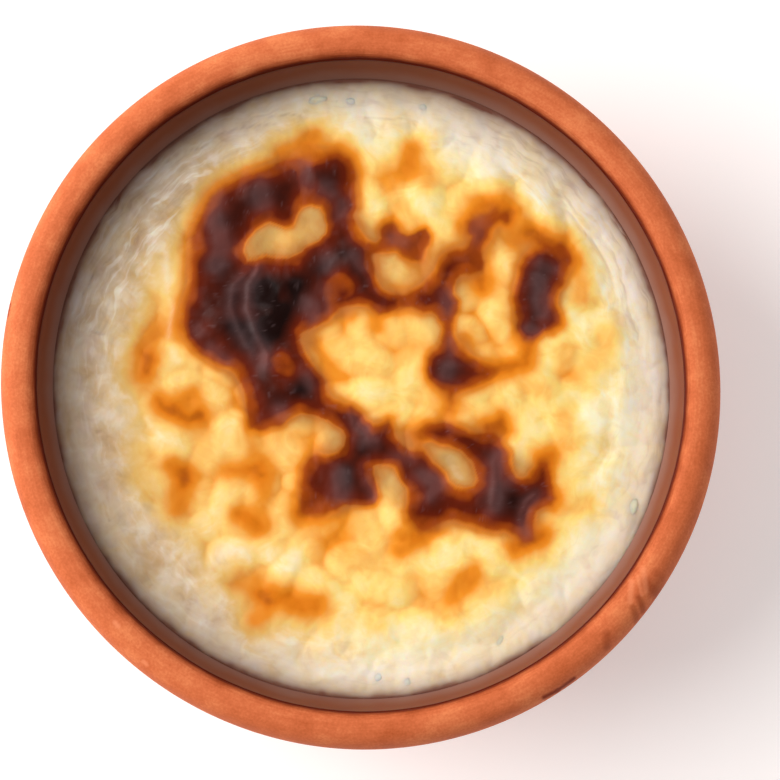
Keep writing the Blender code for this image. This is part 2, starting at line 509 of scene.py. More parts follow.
@dataclass(frozen=True)
class LeadlessGlaze:
    """Clear glaze fired over red clay: the clay shows through darker, under a glassy surface."""

    thin: str = "83452C"
    thick: str = "5A1504"
    milk_mark: str = "A9938A"
    milk_heights: Pair = (32.5 * MM, 37.5 * MM)
    milk_share: float = 0.35
    milk_sway: float = 3.0 * MM
    cloud: float = 7.0 * MM
    roughness: float = 0.34

    def material(self) -> Material:
        """Makes the material: the glaze pools darker in patches, and milk has dried on it."""
        material, tree, shader, place = new_material("clear_glaze_on_red_clay")
        pooled = add_node(tree, "ShaderNodeAttribute", attribute_name="thickness").outputs["Fac"]
        patches = {"Vector": place, "Scale": 1.0 / self.cloud, "Detail": 3.0}
        cloud = add_node(tree, "ShaderNodeTexNoise", patches).outputs["Fac"]
        depth = weighed(tree, (cloud, 0.3), (pooled, 1.0))
        stops = ((0.1, self.thin), (0.95, self.thick))
        glass = add_node(tree, "ShaderNodeValToRGB", {"Fac": depth}, stops).outputs["Color"]
        height = add_node(tree, "ShaderNodeSeparateXYZ", (place,)).outputs[2]
        line = weighed(tree, (cloud, -self.milk_sway), (height, 1.0))
        low = (line, *self.milk_heights, self.milk_share, 0.0)
        smear = add_node(tree, "ShaderNodeMapRange", low, **SOFTLY).outputs[0]
        tree.links.new(layered(tree, glass, (smear, self.milk_mark)), shader.inputs["Base Color"])
        shader.inputs["Roughness"].default_value = self.roughness
        shader.inputs["IOR"].default_value = 1.5
        shader.inputs["Specular IOR Level"].default_value = 0.10
        return material


@dataclass(frozen=True)
class BakedMilkSkin:
    """Skin of a baked milk pudding: moist and pale over the rice, glossy and nearly black where burnt."""

    browning: tuple[tuple[float, str], ...] = (
        (0.00, "FAF0DC"),
        (0.07, "FDEFCC"),
        (0.16, "FFE3A2"),
        (0.24, "FDD67E"),
        (0.31, "F7BA5F"),
        (0.38, "EC9628"),
        (0.46, "D97A12"),
        (0.54, "9E4409"),
        (0.66, "611B05"),
        (0.82, "441307"),
        (1.00, "160503"),
    )
    # Painted sheen: a greyish highlight colour laid on the burnt skin
    painted_sheen: str = "8A7072"
    # Painted shade on the skin; the same tone marks the tan between burnt marks and the curd mottling
    shade_tone: str = "A0683F"
    # The wall's colour through thin milk, which also paints the shade at the edge and in creases
    wall_and_shade_tone: str = "7C4E40"
    milk: str = "FCF8F0"
    scatter_length: float = 1.8 * MM
    wisp: Pair = (1.0 * MM, 7.0 * MM)
    wisp_radius: float = 47.0 * MM
    wisp_wave: float = 2.0 * MM
    wisp_wave_length: float = 5.0 * MM
    curd: float = 3.4 * MM
    mottle: float = 4.5 * MM
    pore: float = 0.9 * MM

    def material(self) -> Material:
        """Makes the material: colour follows how far each place is browned, with a painted sheen, painted
        shade and the wall's colour laid over it.
        """
        material, tree, shader, place = new_material("baked_milk_skin")
        browned, lifted, wall_and_shade, milky, shade_and_tan, border = (
            add_node(tree, "ShaderNodeAttribute", attribute_name=name).outputs["Fac"]
            for name in ("browning", "lifted", "wall_and_shade", "milky", "shade_and_tan", "border")
        )
        noises = (
            {"Scale": 1.0 / self.mottle, "Detail": 5.0, "Distortion": 1.6},
            {"Scale": 1.0 / self.curd, "Detail": 3.0, "Distortion": 0.4},
            {"Scale": 1.0 / self.pore, "Detail": 4.0},
        )
        mottle, curds, pores = (
            add_node(tree, "ShaderNodeTexNoise", {"Vector": place, **noise}).outputs["Fac"]
            for noise in noises
        )
        wisps = self.wisps(tree, place)
        # Mottling shows least on browned skin, and curds only on plain skin
        nudge, unmarked, plain, dark_wisps, pale_wisps, thin_curds, thick_curds, gloss, depth = (
            add_node(tree, "ShaderNodeMapRange", ends, **SOFTLY).outputs[0]
            for ends in (
                (mottle, 0.3, 0.7, -0.030, 0.030),
                (browned, 0.18, 0.38, 1.0, 0.25),
                (browned, 0.14, 0.26, 1.0, 0.0),
                (wisps, 0.28, 0.48, 0.20, 0.0),
                (wisps, 0.50, 0.68, 0.0, 0.54),
                (curds, 0.28, 0.50, 0.13, 0.0),
                (curds, 0.46, 0.72, 0.0, 0.32),
                (browned, 0.25, 0.7, 0.42, 0.36),
                (browned, 0.30, 0.65, 0.8, 0.03),
            )
        )
        level = weighed(tree, (browned, 1.0), (nudge, unmarked))
        toast = add_node(tree, "ShaderNodeValToRGB", {"Fac": level}, self.browning)
        colour = layered(
            tree,
            toast.outputs["Color"],
            # The lifted attribute lays the painted sheen where highlights fall on the burnt skin
            (weighed(tree, (lifted, 0.24)), self.painted_sheen),
            # Painted shade and tan, and darker curd mottling, in one greyish tone
            (weighed(tree, (shade_and_tan, 1.0), (thin_curds, plain)), self.shade_tone),
            (weighed(tree, (milky, 1.0), (pale_wisps, border), (thick_curds, plain)), self.milk),
            # Wall colour through thin milk, with painted shade at the edge and in creases
            (weighed(tree, (wall_and_shade, 1.0), (dark_wisps, border)), self.wall_and_shade_tone),
        )
        strands = add_node(tree, "ShaderNodeMath", (wisps, border), operation="MULTIPLY").outputs[0]
        relief = weighed(tree, (pores, 0.5), (strands, 0.6))
        raised = {"Height": relief, "Strength": 0.35, "Distance": 0.2 * MM}
        bump = add_node(tree, "ShaderNodeBump", raised).outputs[0]
        links = {"Base Color": colour, "Roughness": gloss, "Subsurface Weight": depth, "Normal": bump}
        for name, value in links.items():
            tree.links.new(value, shader.inputs[name])
        shader.inputs["Subsurface Radius"].default_value = (1.0, 0.62, 0.34)
        shader.inputs["Subsurface Scale"].default_value = self.scatter_length
        shader.inputs["IOR"].default_value = 1.40
        shader.inputs["Specular IOR Level"].default_value = 0.09
        return material

    def wisps(self, tree: Tree, place: Socket) -> Socket:
        """Strands of set milk that lie along the wall and wander a little."""
        waves = {"Vector": place, "Scale": 1.0 / self.wisp_wave_length}
        sway = add_node(tree, "ShaderNodeTexNoise", waves).outputs["Color"]
        wandering = (sway, (self.wisp_wave,) * 3, place)
        push = add_node(tree, "ShaderNodeVectorMath", wandering, operation="MULTIPLY_ADD")
        return drawn_round(tree, push.outputs[0], self.wisp_radius, self.wisp)


@dataclass(frozen=True)
class PaleFloor:
    """Matt white paper sweep under the bowl."""

    colour: str = "F8F3F2"
    shade: str = "F1EEED"
    grain: float = 25.0 * MM
    glow: float = 0.24

    def material(self) -> Material:
        """Makes the material, with the faintest unevenness."""
        material, tree, shader, place = new_material("white_paper_sweep")
        uneven = add_node(tree, "ShaderNodeTexNoise", {"Vector": place, "Scale": 1.0 / self.grain})
        stops = ((0.0, self.shade), (1.0, self.colour))
        ramp = add_node(tree, "ShaderNodeValToRGB", {"Fac": uneven.outputs["Fac"]}, stops)
        tree.links.new(ramp.outputs["Color"], shader.inputs["Base Color"])
        shader.inputs["Roughness"].default_value = 0.9
        shader.inputs["Emission Color"].default_value = linear(self.colour)
        shader.inputs["Emission Strength"].default_value = self.glow
        return material


# ---- the bowl


@dataclass(frozen=True)
class BowlSection:
    """Half section of the bowl: its lip, straight-flared belly, turned foot and inner wall."""

    rim_radius: float = 60.0 * MM
    height: float = 45.0 * MM
    lip_width: float = 5.9 * MM
    lip_depth: float = 8.0 * MM
    lip_lean: float = 0.9 * MM
    lip_squareness: float = 2.6
    lip_start: float = math.radians(170.0)
    lip_turn: float = math.radians(240.0)
    neck_radius: float = 57.4 * MM
    foot_radius: float = 39.0 * MM
    foot_height: float = 4.0 * MM
    foot_inset: float = 1.0 * MM
    foot_bevel: float = 0.8 * MM
    base_ring_width: float = 6.5 * MM
    base_recess: float = 1.0 * MM
    belly_power: float = 0.72
    floor_height: float = 6.5 * MM
    shoulder_drop: float = 3.0 * MM
    wall_power_depth: float = 1.55
    wall_power_radius: float = 3.4
    ovality: float = 0.0079
    oval_direction: float = math.radians(-61.0)

    @property
    def mouth_radius(self) -> float:
        """Radius of the top of the inner wall."""
        return self.rim_radius - self.lip_width

    @property
    def mouth_height(self) -> float:
        """Height of the top of the inner wall, where the lip begins."""
        return self.height - self.shoulder_drop

    def wall_radius(self, height: Array | float) -> Array | float:
        """Radius of the inner wall at a height between the floor and the mouth."""
        share = (self.mouth_height - height) / (self.mouth_height - self.floor_height)
        left = 1.0 - np.clip(share, 0.0, 1.0) ** self.wall_power_depth
        return self.mouth_radius * left ** (1.0 / self.wall_power_radius)

    def inside(self, steps: int = 48) -> list[Pair]:
        """Radius and height of the inner surface, from the mouth to the middle of the floor."""
        points = []
        for step in range(steps + 1):
            angle = math.pi / 2.0 * step / steps
            sine, cosine = max(math.sin(angle), 0.0), max(math.cos(angle), 0.0)
            depth = (self.mouth_height - self.floor_height) * sine ** (2.0 / self.wall_power_depth)
            radius = self.mouth_radius * cosine ** (2.0 / self.wall_power_radius)
            points.append((radius, self.mouth_height - depth))
        return points

    def lip(self, steps: int = 40) -> list[Pair]:
        """Radius and height of the rolled lip, from the mouth over the top to the neck."""
        middle_radius = self.rim_radius - self.lip_width / 2.0
        middle_height = self.height - self.lip_depth / 2.0
        power = 2.0 / self.lip_squareness
        points = []
        for step in range(1, steps + 1):
            angle = self.lip_start - self.lip_turn * step / steps
            shares = (math.cos(angle), math.sin(angle))
            across, upward = (math.copysign(abs(share) ** power, share) for share in shares)
            radius = middle_radius + self.lip_width / 2.0 * across - self.lip_lean * upward
            points.append((radius, middle_height + self.lip_depth / 2.0 * upward))
        return points

    def belly(self, steps: int = 40) -> list[Pair]:
        """Radius and height of the outer wall, from the neck to the top of the foot."""
        rise = self.height - self.lip_depth - self.foot_height
        flare = self.neck_radius - self.foot_radius
        shares = [1.0 - step / steps for step in range(steps + 1)]
        return [
            (self.foot_radius + flare * share**self.belly_power, self.foot_height + rise * share)
            for share in shares
        ]

    def foot(self) -> list[Pair]:
        """Radius and height of the foot, its ring and the recess in the base."""
        side = self.foot_radius - self.foot_inset
        ring_inside = side - self.base_ring_width
        return [
            (side, self.foot_height - self.foot_inset),
            (side, self.foot_bevel),
            (side - self.foot_bevel, 0.0),
            (ring_inside, 0.0),
            (ring_inside - self.base_recess, self.base_recess),
            (0.0, self.base_recess),
        ]

    def outline(self) -> list[Pair]:
        """The whole half section, from the middle of the floor to the middle of the base."""
        return self.inside()[::-1] + self.lip() + self.belly() + self.foot()

    def stretch(self, x: Array, y: Array) -> tuple[Array, Array]:
        """Makes round places oval, as the whole bowl is.

        Args:
            x, y: Places across and along.

        Returns:
            The places across and along after the stretch.
        """
        cosine, sine = math.cos(self.oval_direction), math.sin(self.oval_direction)
        long_way = (x * cosine + y * sine) * (1.0 + self.ovality)
        short_way = (-x * sine + y * cosine) * (1.0 - self.ovality)
        return long_way * cosine - short_way * sine, long_way * sine + short_way * cosine


def lengths_along(points: Array) -> Array:
    """How far along a section's outline each of its points lies."""
    return np.concatenate([[0.0], np.cumsum(np.hypot(*np.diff(points, axis=0).T))])


@dataclass
class Lathe:
    """A potter's wheel in Geometry Nodes: turns a half section and leaves throwing rings on it."""

    segments: int = 300
    rings: int = 230
    ring_height: float = 0.16 * MM
    ring_spacing: float = 3.2 * MM
    ring_drift: float = 0.25
    wobble: float = 0.25 * MM
    outside_fade: float = 0.03
    foot_free: Pair = (1.2 * MM, 6.0 * MM)
    seed: int = 5

    def tree(self) -> Tree:
        """Builds the node tree, with its sizes as named inputs."""
        tree = bpy.data.node_groups.new("thrown_on_the_wheel", "GeometryNodeTree")
        sizes = ("Ring Height", "Ring Spacing", "Wobble", "Outside From", "Ovality", "Oval Direction")
        taken = {"Section": "Geometry", "Segments": "Int", "Rings": "Int"}
        taken |= dict.fromkeys((*sizes, "Seed"), "Float")
        node_sockets(tree, taken | {"Clay": "Material"}, "Pot")
        given = add_node(tree, "NodeGroupInput").outputs
        kind = "ShaderNodeMath"
        curve = add_node(tree, "GeometryNodeMeshToCurve", {"Mesh": given["Section"]}).outputs[0]
        around = add_node(tree, kind, (given["Segments"], 1.0), operation="ADD").outputs[0]
        counts = {"Size X": 1.0, "Size Y": 1.0, "Vertices X": around, "Vertices Y": given["Rings"]}
        sheet = add_node(tree, "GeometryNodeMeshGrid", counts).outputs["Mesh"]
        place = add_node(tree, "GeometryNodeInputPosition").outputs[0]
        split = add_node(tree, "ShaderNodeSeparateXYZ", (place,)).outputs
        angle = add_node(tree, kind, (split[0], TOTAL_TURN), operation="MULTIPLY").outputs[0]
        along = add_node(tree, kind, (split[1], 0.5), operation="ADD").outputs[0]
        read = {"Curves": curve, "Factor": along}
        sample = add_node(tree, "GeometryNodeSampleCurve", read, mode="FACTOR", use_all_curves=True)
        radius, _, height = add_node(
            tree, "ShaderNodeSeparateXYZ", (sample.outputs["Position"],)
        ).outputs
        cosine, sine = (
            add_node(tree, kind, (angle,), operation=name).outputs[0] for name in ("COSINE", "SINE")
        )
        # The rings' noise is read on a narrow cylinder, so that each ring drifts a little
        layer = add_node(tree, kind, (height, given["Ring Spacing"]), operation="DIVIDE").outputs[0]
        drift = [weighed(tree, (value, self.ring_drift)) for value in (cosine, sine)]
        pushes = []
        for where, size, scale, detail in (
            ((*drift, layer), "Ring Height", 1.0, 2.0),
            ((cosine, sine, height), "Wobble", 1.3, 1.0),
        ):
            point = add_node(tree, "ShaderNodeCombineXYZ", where).outputs[0]
            noise = {"Vector": point, "W": given["Seed"], "Scale": scale, "Detail": detail}
            uneven = add_node(tree, "ShaderNodeTexNoise", noise, noise_dimensions="4D").outputs[0]
            middled = add_node(tree, kind, (uneven, 0.5), operation="SUBTRACT").outputs[0]
            pushes.append((middled, given[size]))
        start = given["Outside From"]
        end = add_node(tree, kind, (start, self.outside_fade), operation="ADD").outputs[0]
        # Nothing moves inside, nor at the foot's ring, which stays flat and true
        outside = add_node(tree, "ShaderNodeMapRange", (along, start, end)).outputs[0]
        lifted = add_node(tree, "ShaderNodeMapRange", (height, *self.foot_free)).outputs[0]
        free = add_node(tree, kind, (outside, lifted), operation="MULTIPLY").outputs[0]
        pushed = weighed(tree, (radius, 1.0), (weighed(tree, *pushes), free))
        turned = add_node(tree, kind, (angle, given["Oval Direction"]), operation="SUBTRACT").outputs[0]
        twice = add_node(tree, kind, (turned, 2.0), operation="MULTIPLY").outputs[0]
        oval = add_node(tree, kind, (twice,), operation="COSINE").outputs[0]
        stretched = weighed(tree, (pushed, 1.0), (weighed(tree, (pushed, given["Ovality"])), oval))
        across, upward = (weighed(tree, (stretched, way)) for way in (cosine, sine))
        thrown = add_node(tree, "ShaderNodeCombineXYZ", (across, upward, height)).outputs[0]
        shaping = {"Geometry": sheet, "Position": thrown}
        shaped = add_node(tree, "GeometryNodeSetPosition", shaping).outputs[0]
        closing = {"Geometry": shaped, "Distance": 0.01 * MM}
        closed = add_node(tree, "GeometryNodeMergeByDistance", closing).outputs[0]
        soft = add_node(tree, "GeometryNodeSetShadeSmooth", {"Geometry": closed}).outputs[0]
        real = add_node(tree, "GeometryNodeRealizeInstances", {"Geometry": soft}).outputs[0]
        finish = {"Geometry": real, "Material": given["Clay"]}
        clad = add_node(tree, "GeometryNodeSetMaterial", finish).outputs[0]
        add_node(tree, "NodeGroupOutput", {"Pot": clad})
        return tree

    def turn(self, name: str, section: BowlSection, outside_from: float, clay: Material) -> bpy.types.Object:
        """Turns a section into a closed pot.

        Args:
            name: The new piece's name.
            section: The bowl's half section.
            outside_from: Share of the way along the outline where the outside begins.
            clay: The pot's material.

        Returns:
            The pot as a plain mesh object at the origin.
        """
        outline = section.outline()
        edges = [(index, index + 1) for index in range(len(outline) - 1)]
        blank = bpy.data.meshes.new(name + "_section")
        blank.from_pydata([(radius, 0.0, height) for radius, height in outline], edges, [])
        values = {
            "Segments": self.segments,
            "Rings": self.rings,
            "Ring Height": self.ring_height,
            "Ring Spacing": self.ring_spacing,
            "Wobble": self.wobble,
            "Outside From": outside_from,
            "Ovality": section.ovality,
            "Oval Direction": section.oval_direction,
            "Seed": float(self.seed),
            "Clay": clay,
        }
        mesh = grown(new_object(name + "_blank", blank), self.tree(), name, values)
        face_outwards(mesh)
        return new_object(name, mesh)


@dataclass
class Bowl:
    """The thrown clay bowl and the clear glaze that lines it."""

    section: BowlSection
    scuffs: tuple[Scuff, ...] = ()
    glaze_thickness: float = 0.12 * MM
    glaze_sunk: float = 0.25 * MM
    glaze_roll: float = 0.05 * MM
    roll_place: float = 0.45 * MM
    roll_width: float = 0.40 * MM
    edge_taper: float = 0.25 * MM
    pool_width: float = 1.3 * MM
    glaze_top: float = 42.9 * MM
    glaze_ragged: float = 0.35 * MM
    ragged_radius: float = 60.0
    ragged_cells: Pair = (7.0, 2.0)
    edge_share: float = 0.90
    edge_crowding: float = 1.6
    glaze_segments: int = 360
    glaze_rings: int = 90
    seed: int = 21

    def build(self) -> None:
        """Builds the clay and its glaze, and hands them over."""
        outline = np.array(self.section.outline())
        lengths = lengths_along(outline)
        outside_from = float(lengths[int(np.argmax(outline[:, 1]))] / lengths[-1])
        earthenware = RedEarthenware(scuffs=self.scuffs).material()
        clay = Lathe().turn("bowl_clay", self.section, outside_from, earthenware)
        hand_over(clay, "bowl")
        hand_over(self.glaze())

    def glaze(self) -> bpy.types.Object:
        """Builds the glaze as a thin closed coat with a thick, ragged upper edge."""
        inner = np.array(self.section.inside(120)[::-1] + self.section.lip(120)[:24])
        lengths = lengths_along(inner)
        end = float(np.interp(self.glaze_top, inner[:, 1], lengths))
        turn = np.linspace(0.0, TOTAL_TURN, self.glaze_segments, endpoint=False)
        around = (self.ragged_radius * np.cos(turn), self.ragged_radius * np.sin(turn))
        coarse, fine = (
            value_noise(*around, cell, self.seed + number)
            for number, cell in enumerate(self.ragged_cells)
        )
        ragged = self.glaze_ragged * (coarse + 0.5 * fine)[:, None]
        share = 1.0 - (1.0 - np.linspace(0.0, 1.0, self.glaze_rings)) ** self.edge_crowding
        near_edge = ramp(share, self.edge_share, 1.0)
        reach = share * end + near_edge * ragged
        ahead = reach + 0.05 * MM
        here, there = (
            np.stack([np.interp(at, lengths, inner[:, axis]) for axis in (0, 1)], axis=-1)
            for at in (reach, ahead)
        )
        tangent = there - here
        tangent /= np.maximum(np.linalg.norm(tangent, axis=-1, keepdims=True), 1e-9)
        outward = np.stack([-tangent[..., 1], tangent[..., 0]], axis=-1)
        from_edge = end + ragged - reach
        rolled = np.exp(-((from_edge - self.roll_place) / self.roll_width) ** 2)
        thickness = self.glaze_thickness + self.glaze_roll * rolled
        thickness *= np.sqrt(np.clip(from_edge / self.edge_taper, 0.0, 1.0))
        front, back = here + outward * thickness[..., None], here - outward * self.glaze_sunk
        coat = np.concatenate([front, back[:, ::-1]], axis=1)
        coat[:, (0, -1), 0] = 0.0
        flat = (coat[..., 0] * np.cos(turn)[:, None], coat[..., 0] * np.sin(turn)[:, None])
        x, y = self.section.stretch(*flat)
        vertices = np.stack([x, y, coat[..., 1]], axis=-1).reshape(-1, 3)
        index = np.arange(x.size).reshape(x.shape)
        after = np.roll(index, -1, axis=0)
        corners = [index[:, :-1], index[:, 1:], after[:, 1:], after[:, :-1]]
        mesh = bpy.data.meshes.new("glaze_lining")
        mesh.from_pydata(vertices.tolist(), [], np.stack(corners, axis=-1).reshape(-1, 4).tolist())
        pooled = np.exp(-((from_edge / self.pool_width) ** 2))
        carry(mesh, "thickness", np.concatenate([pooled, pooled[:, ::-1]], axis=1).reshape(-1))
        face_outwards(mesh, merged=0.002 * MM)
        mesh.shade_smooth()
        mesh.materials.append(LeadlessGlaze().material())
        return new_object("glaze_lining", mesh)


# ---- the pudding


@dataclass(frozen=True)
class Stroke:
    """One soft mark on the skin: its strength, and its path of x, y and half width in millimetres."""

    strength: float
    path: Path


def strokes(*marks: tuple[float, Path]) -> tuple[Stroke, ...]:
    """Makes strokes from their strengths and paths."""
    return tuple(Stroke(strength, path) for strength, path in marks)


@dataclass(frozen=True)
class Patch:
    """One burnt area: its strength, its outline of x, y and fade in millimetres, and its islands."""

    strength: float
    outline: Path
    islands: tuple[Path, ...] = ()


@dataclass(frozen=True)
class ScorchMarks:
    """Where the skin has charred, burnt and toasted, and where a painted sheen lies on the burnt skin, laid
    out mark by mark.
    """

    burnt: tuple[Patch, ...]
    charred: tuple[Stroke, ...]
    toasted: tuple[Stroke, ...]
    # The lifted strokes mark a painted sheen, where highlights fall on the burnt skin
    lifted: tuple[Stroke, ...]
    edge_level: float = 0.52
    inner_fade: float = 3.5
    outer_fade: float = 2.1
    island_fade: float = 0.75
    charred_fade: float = 1.6
    toasted_fade: float = 3.7
    painted_sheen_fade: float = 1.0
    fade_power: float = 1.4
    joining_power: float = 6.0
    heat_reach: float = 4.5
    heated_levels: Pair = (0.40, 0.55)
    wander_across: tuple[Noise, ...] = (Noise(0.35, 3.6, 40), Noise(0.22, 1.5, 41))
    wander_along: tuple[Noise, ...] = (Noise(0.35, 3.6, 50), Noise(0.22, 1.5, 51))

    def shaken(self, x: Array, y: Array) -> tuple[Array, Array]:
        """Shifts places a little, so that no outline runs straight."""
        across = sum(noise.at(x, y) for noise in self.wander_across)
        along = sum(noise.at(x, y) for noise in self.wander_along)
        return x + across, y + along

    def browning(self, x: Array, y: Array) -> Array:
        """How far each place is browned by the marks.

        Args:
            x, y: Places across and along, in millimetres.

        Returns:
            0 where no mark reaches, 0.3 where golden, 0.5 where brown and 1 where charred.
        """
        x, y = self.shaken(x, y)
        total = self.soft(x, y, self.toasted, self.toasted_fade) ** self.joining_power
        deep = self.soft(x, y, self.charred, self.charred_fade)
        for patch in self.burnt:
            distance, fade = outline_distance(x, y, patch.outline)
            for island in patch.islands:
                inland, island_fade = outline_distance(x, y, island)
                fade = np.where(-inland > distance, island_fade * self.island_fade, fade)
                distance = np.maximum(distance, -inland)
            full = patch.strength + deep - self.edge_level
            deep_in = np.minimum(distance, 0.0) / self.inner_fade
            inside = self.edge_level + full * (1.0 - np.exp(-(deep_in**2) + deep_in))
            away = np.maximum(distance, 0.0) / (fade * self.outer_fade)
            outside = self.edge_level * np.exp(-(away**self.fade_power))
            total += np.where(distance < 0.0, inside, outside) ** self.joining_power
        return total ** (1.0 / self.joining_power)

    def heat(self, x: Array, y: Array) -> Array:
        """How much of the skin around each place is burnt, from 0 to 1."""
        line = np.arange(-56.0, 57.0)
        level = self.browning(*np.meshgrid(line, line, indexing="ij"))
        burnt = ramp(level, *self.heated_levels)
        spread = np.exp(-((np.arange(-12.0, 13.0) / self.heat_reach) ** 2))
        for axis in (0, 1):
            burnt = np.apply_along_axis(np.convolve, axis, burnt, spread / spread.sum(), "same")
        row, column = np.floor(x).astype(int), np.floor(y).astype(int)
        across, along = x - row, y - column
        row, column = row - int(line[0]), column - int(line[0])
        near = burnt[row, column] * (1.0 - along) + burnt[row, column + 1] * along
        far = burnt[row + 1, column] * (1.0 - along) + burnt[row + 1, column + 1] * along
        return near * (1.0 - across) + far * across

    def lift(self, x: Array, y: Array) -> Array:
        """How strongly the painted sheen shows on the burnt skin, from 0 to 1."""
        x, y = self.shaken(x, y)
        return np.clip(self.soft(x, y, self.lifted, self.painted_sheen_fade), 0.0, 1.0)

    def soft(self, x: Array, y: Array, strokes: tuple[Stroke, ...], fade: float) -> Array:
        """Joins soft strokes into one field.

        Args:
            x, y: Places across and along, in millimetres.
            strokes: The strokes to join.
            fade: Distance outside a stroke at which it has faded to a third.

        Returns:
            The joined strength at each place.
        """
        total = np.zeros(x.shape)
        for stroke in strokes:
            distance = np.maximum(stroke_distance(x, y, stroke.path), 0.0)
            total += (stroke.strength * np.exp(-((distance / fade) ** self.fade_power))) ** 5
        return np.sign(total) * np.abs(total) ** 0.2


@dataclass(frozen=True)
class RicePacking:
    """Cooked short-grain rice lying just under the skin, one grain to each cell of a shaken lattice."""

    pitch: float = 6.2
    row_pitch: float = 0.9
    shake: float = 2.1
    half_length: Pair = (3.2, 4.8)
    half_width: Pair = (2.0, 3.1)
    rise: Pair = (0.30, 0.95)
    reach: float = 50.0
    grain_reach: float = 7.0
    spread: float = 2.3
    roundness: float = 0.9
    seed: int = 11
    shown: tuple[tuple[float, float, float, float, float, float], ...] = ()

    def grains(self) -> Array:
        """One row for each grain: x, y, direction, half length, half width and rise."""
        random = np.random.default_rng(self.seed)
        rows = []
        count = int(self.reach / self.pitch) + 2
        for row in range(-count, count + 1):
            for column in range(-count, count + 1):
                x = (column + 0.5 * (row % 2)) * self.pitch + random.uniform(-1, 1) * self.shake
                y = row * self.pitch * self.row_pitch + random.uniform(-1, 1) * self.shake
                turn = random.uniform(0.0, math.pi)
                sizes = [random.uniform(*ends) for ends in (self.half_length, self.half_width, self.rise)]
                clear = all(math.hypot(x - g[0], y - g[1]) > g[3] for g in self.shown)
                if math.hypot(x, y) < self.reach and clear:
                    rows.append((x, y, turn, *sizes))
        return np.array(rows + list(self.shown))

    def relief(self, x: Array, y: Array) -> Array:
        """Height of the skin over the rice, in millimetres.

        Args:
            x, y: Places across and along, in millimetres.

        Returns:
            Height above the milk between the grains, about 0 to 1.
        """
        total = np.zeros(x.shape)
        for middle_x, middle_y, turn, half_length, half_width, rise in self.grains():
            away_x, away_y = x - middle_x, y - middle_y
            near = (np.abs(away_x) < self.grain_reach) & (np.abs(away_y) < self.grain_reach)
            away_x, away_y = away_x[near], away_y[near]
            long_way = (away_x * math.cos(turn) + away_y * math.sin(turn)) / half_length
            short_way = (-away_x * math.sin(turn) + away_y * math.cos(turn)) / half_width
            left = np.clip(1.0 - (long_way**2 + short_way**2) / self.spread, 0.0, None)
            total[near] += (rise * left**self.roundness) ** 4
        return total**0.25


@dataclass(frozen=True)
class Fold:
    """A ridge (rise above 0) or crease (below 0): how milky it is, and how much wall colour and painted
    crease shade it lays on.
    """

    rise: float
    path: Path
    milk: float = 0.0
    wall_and_crease_shade: float = 0.0
    fade: float = 0.6


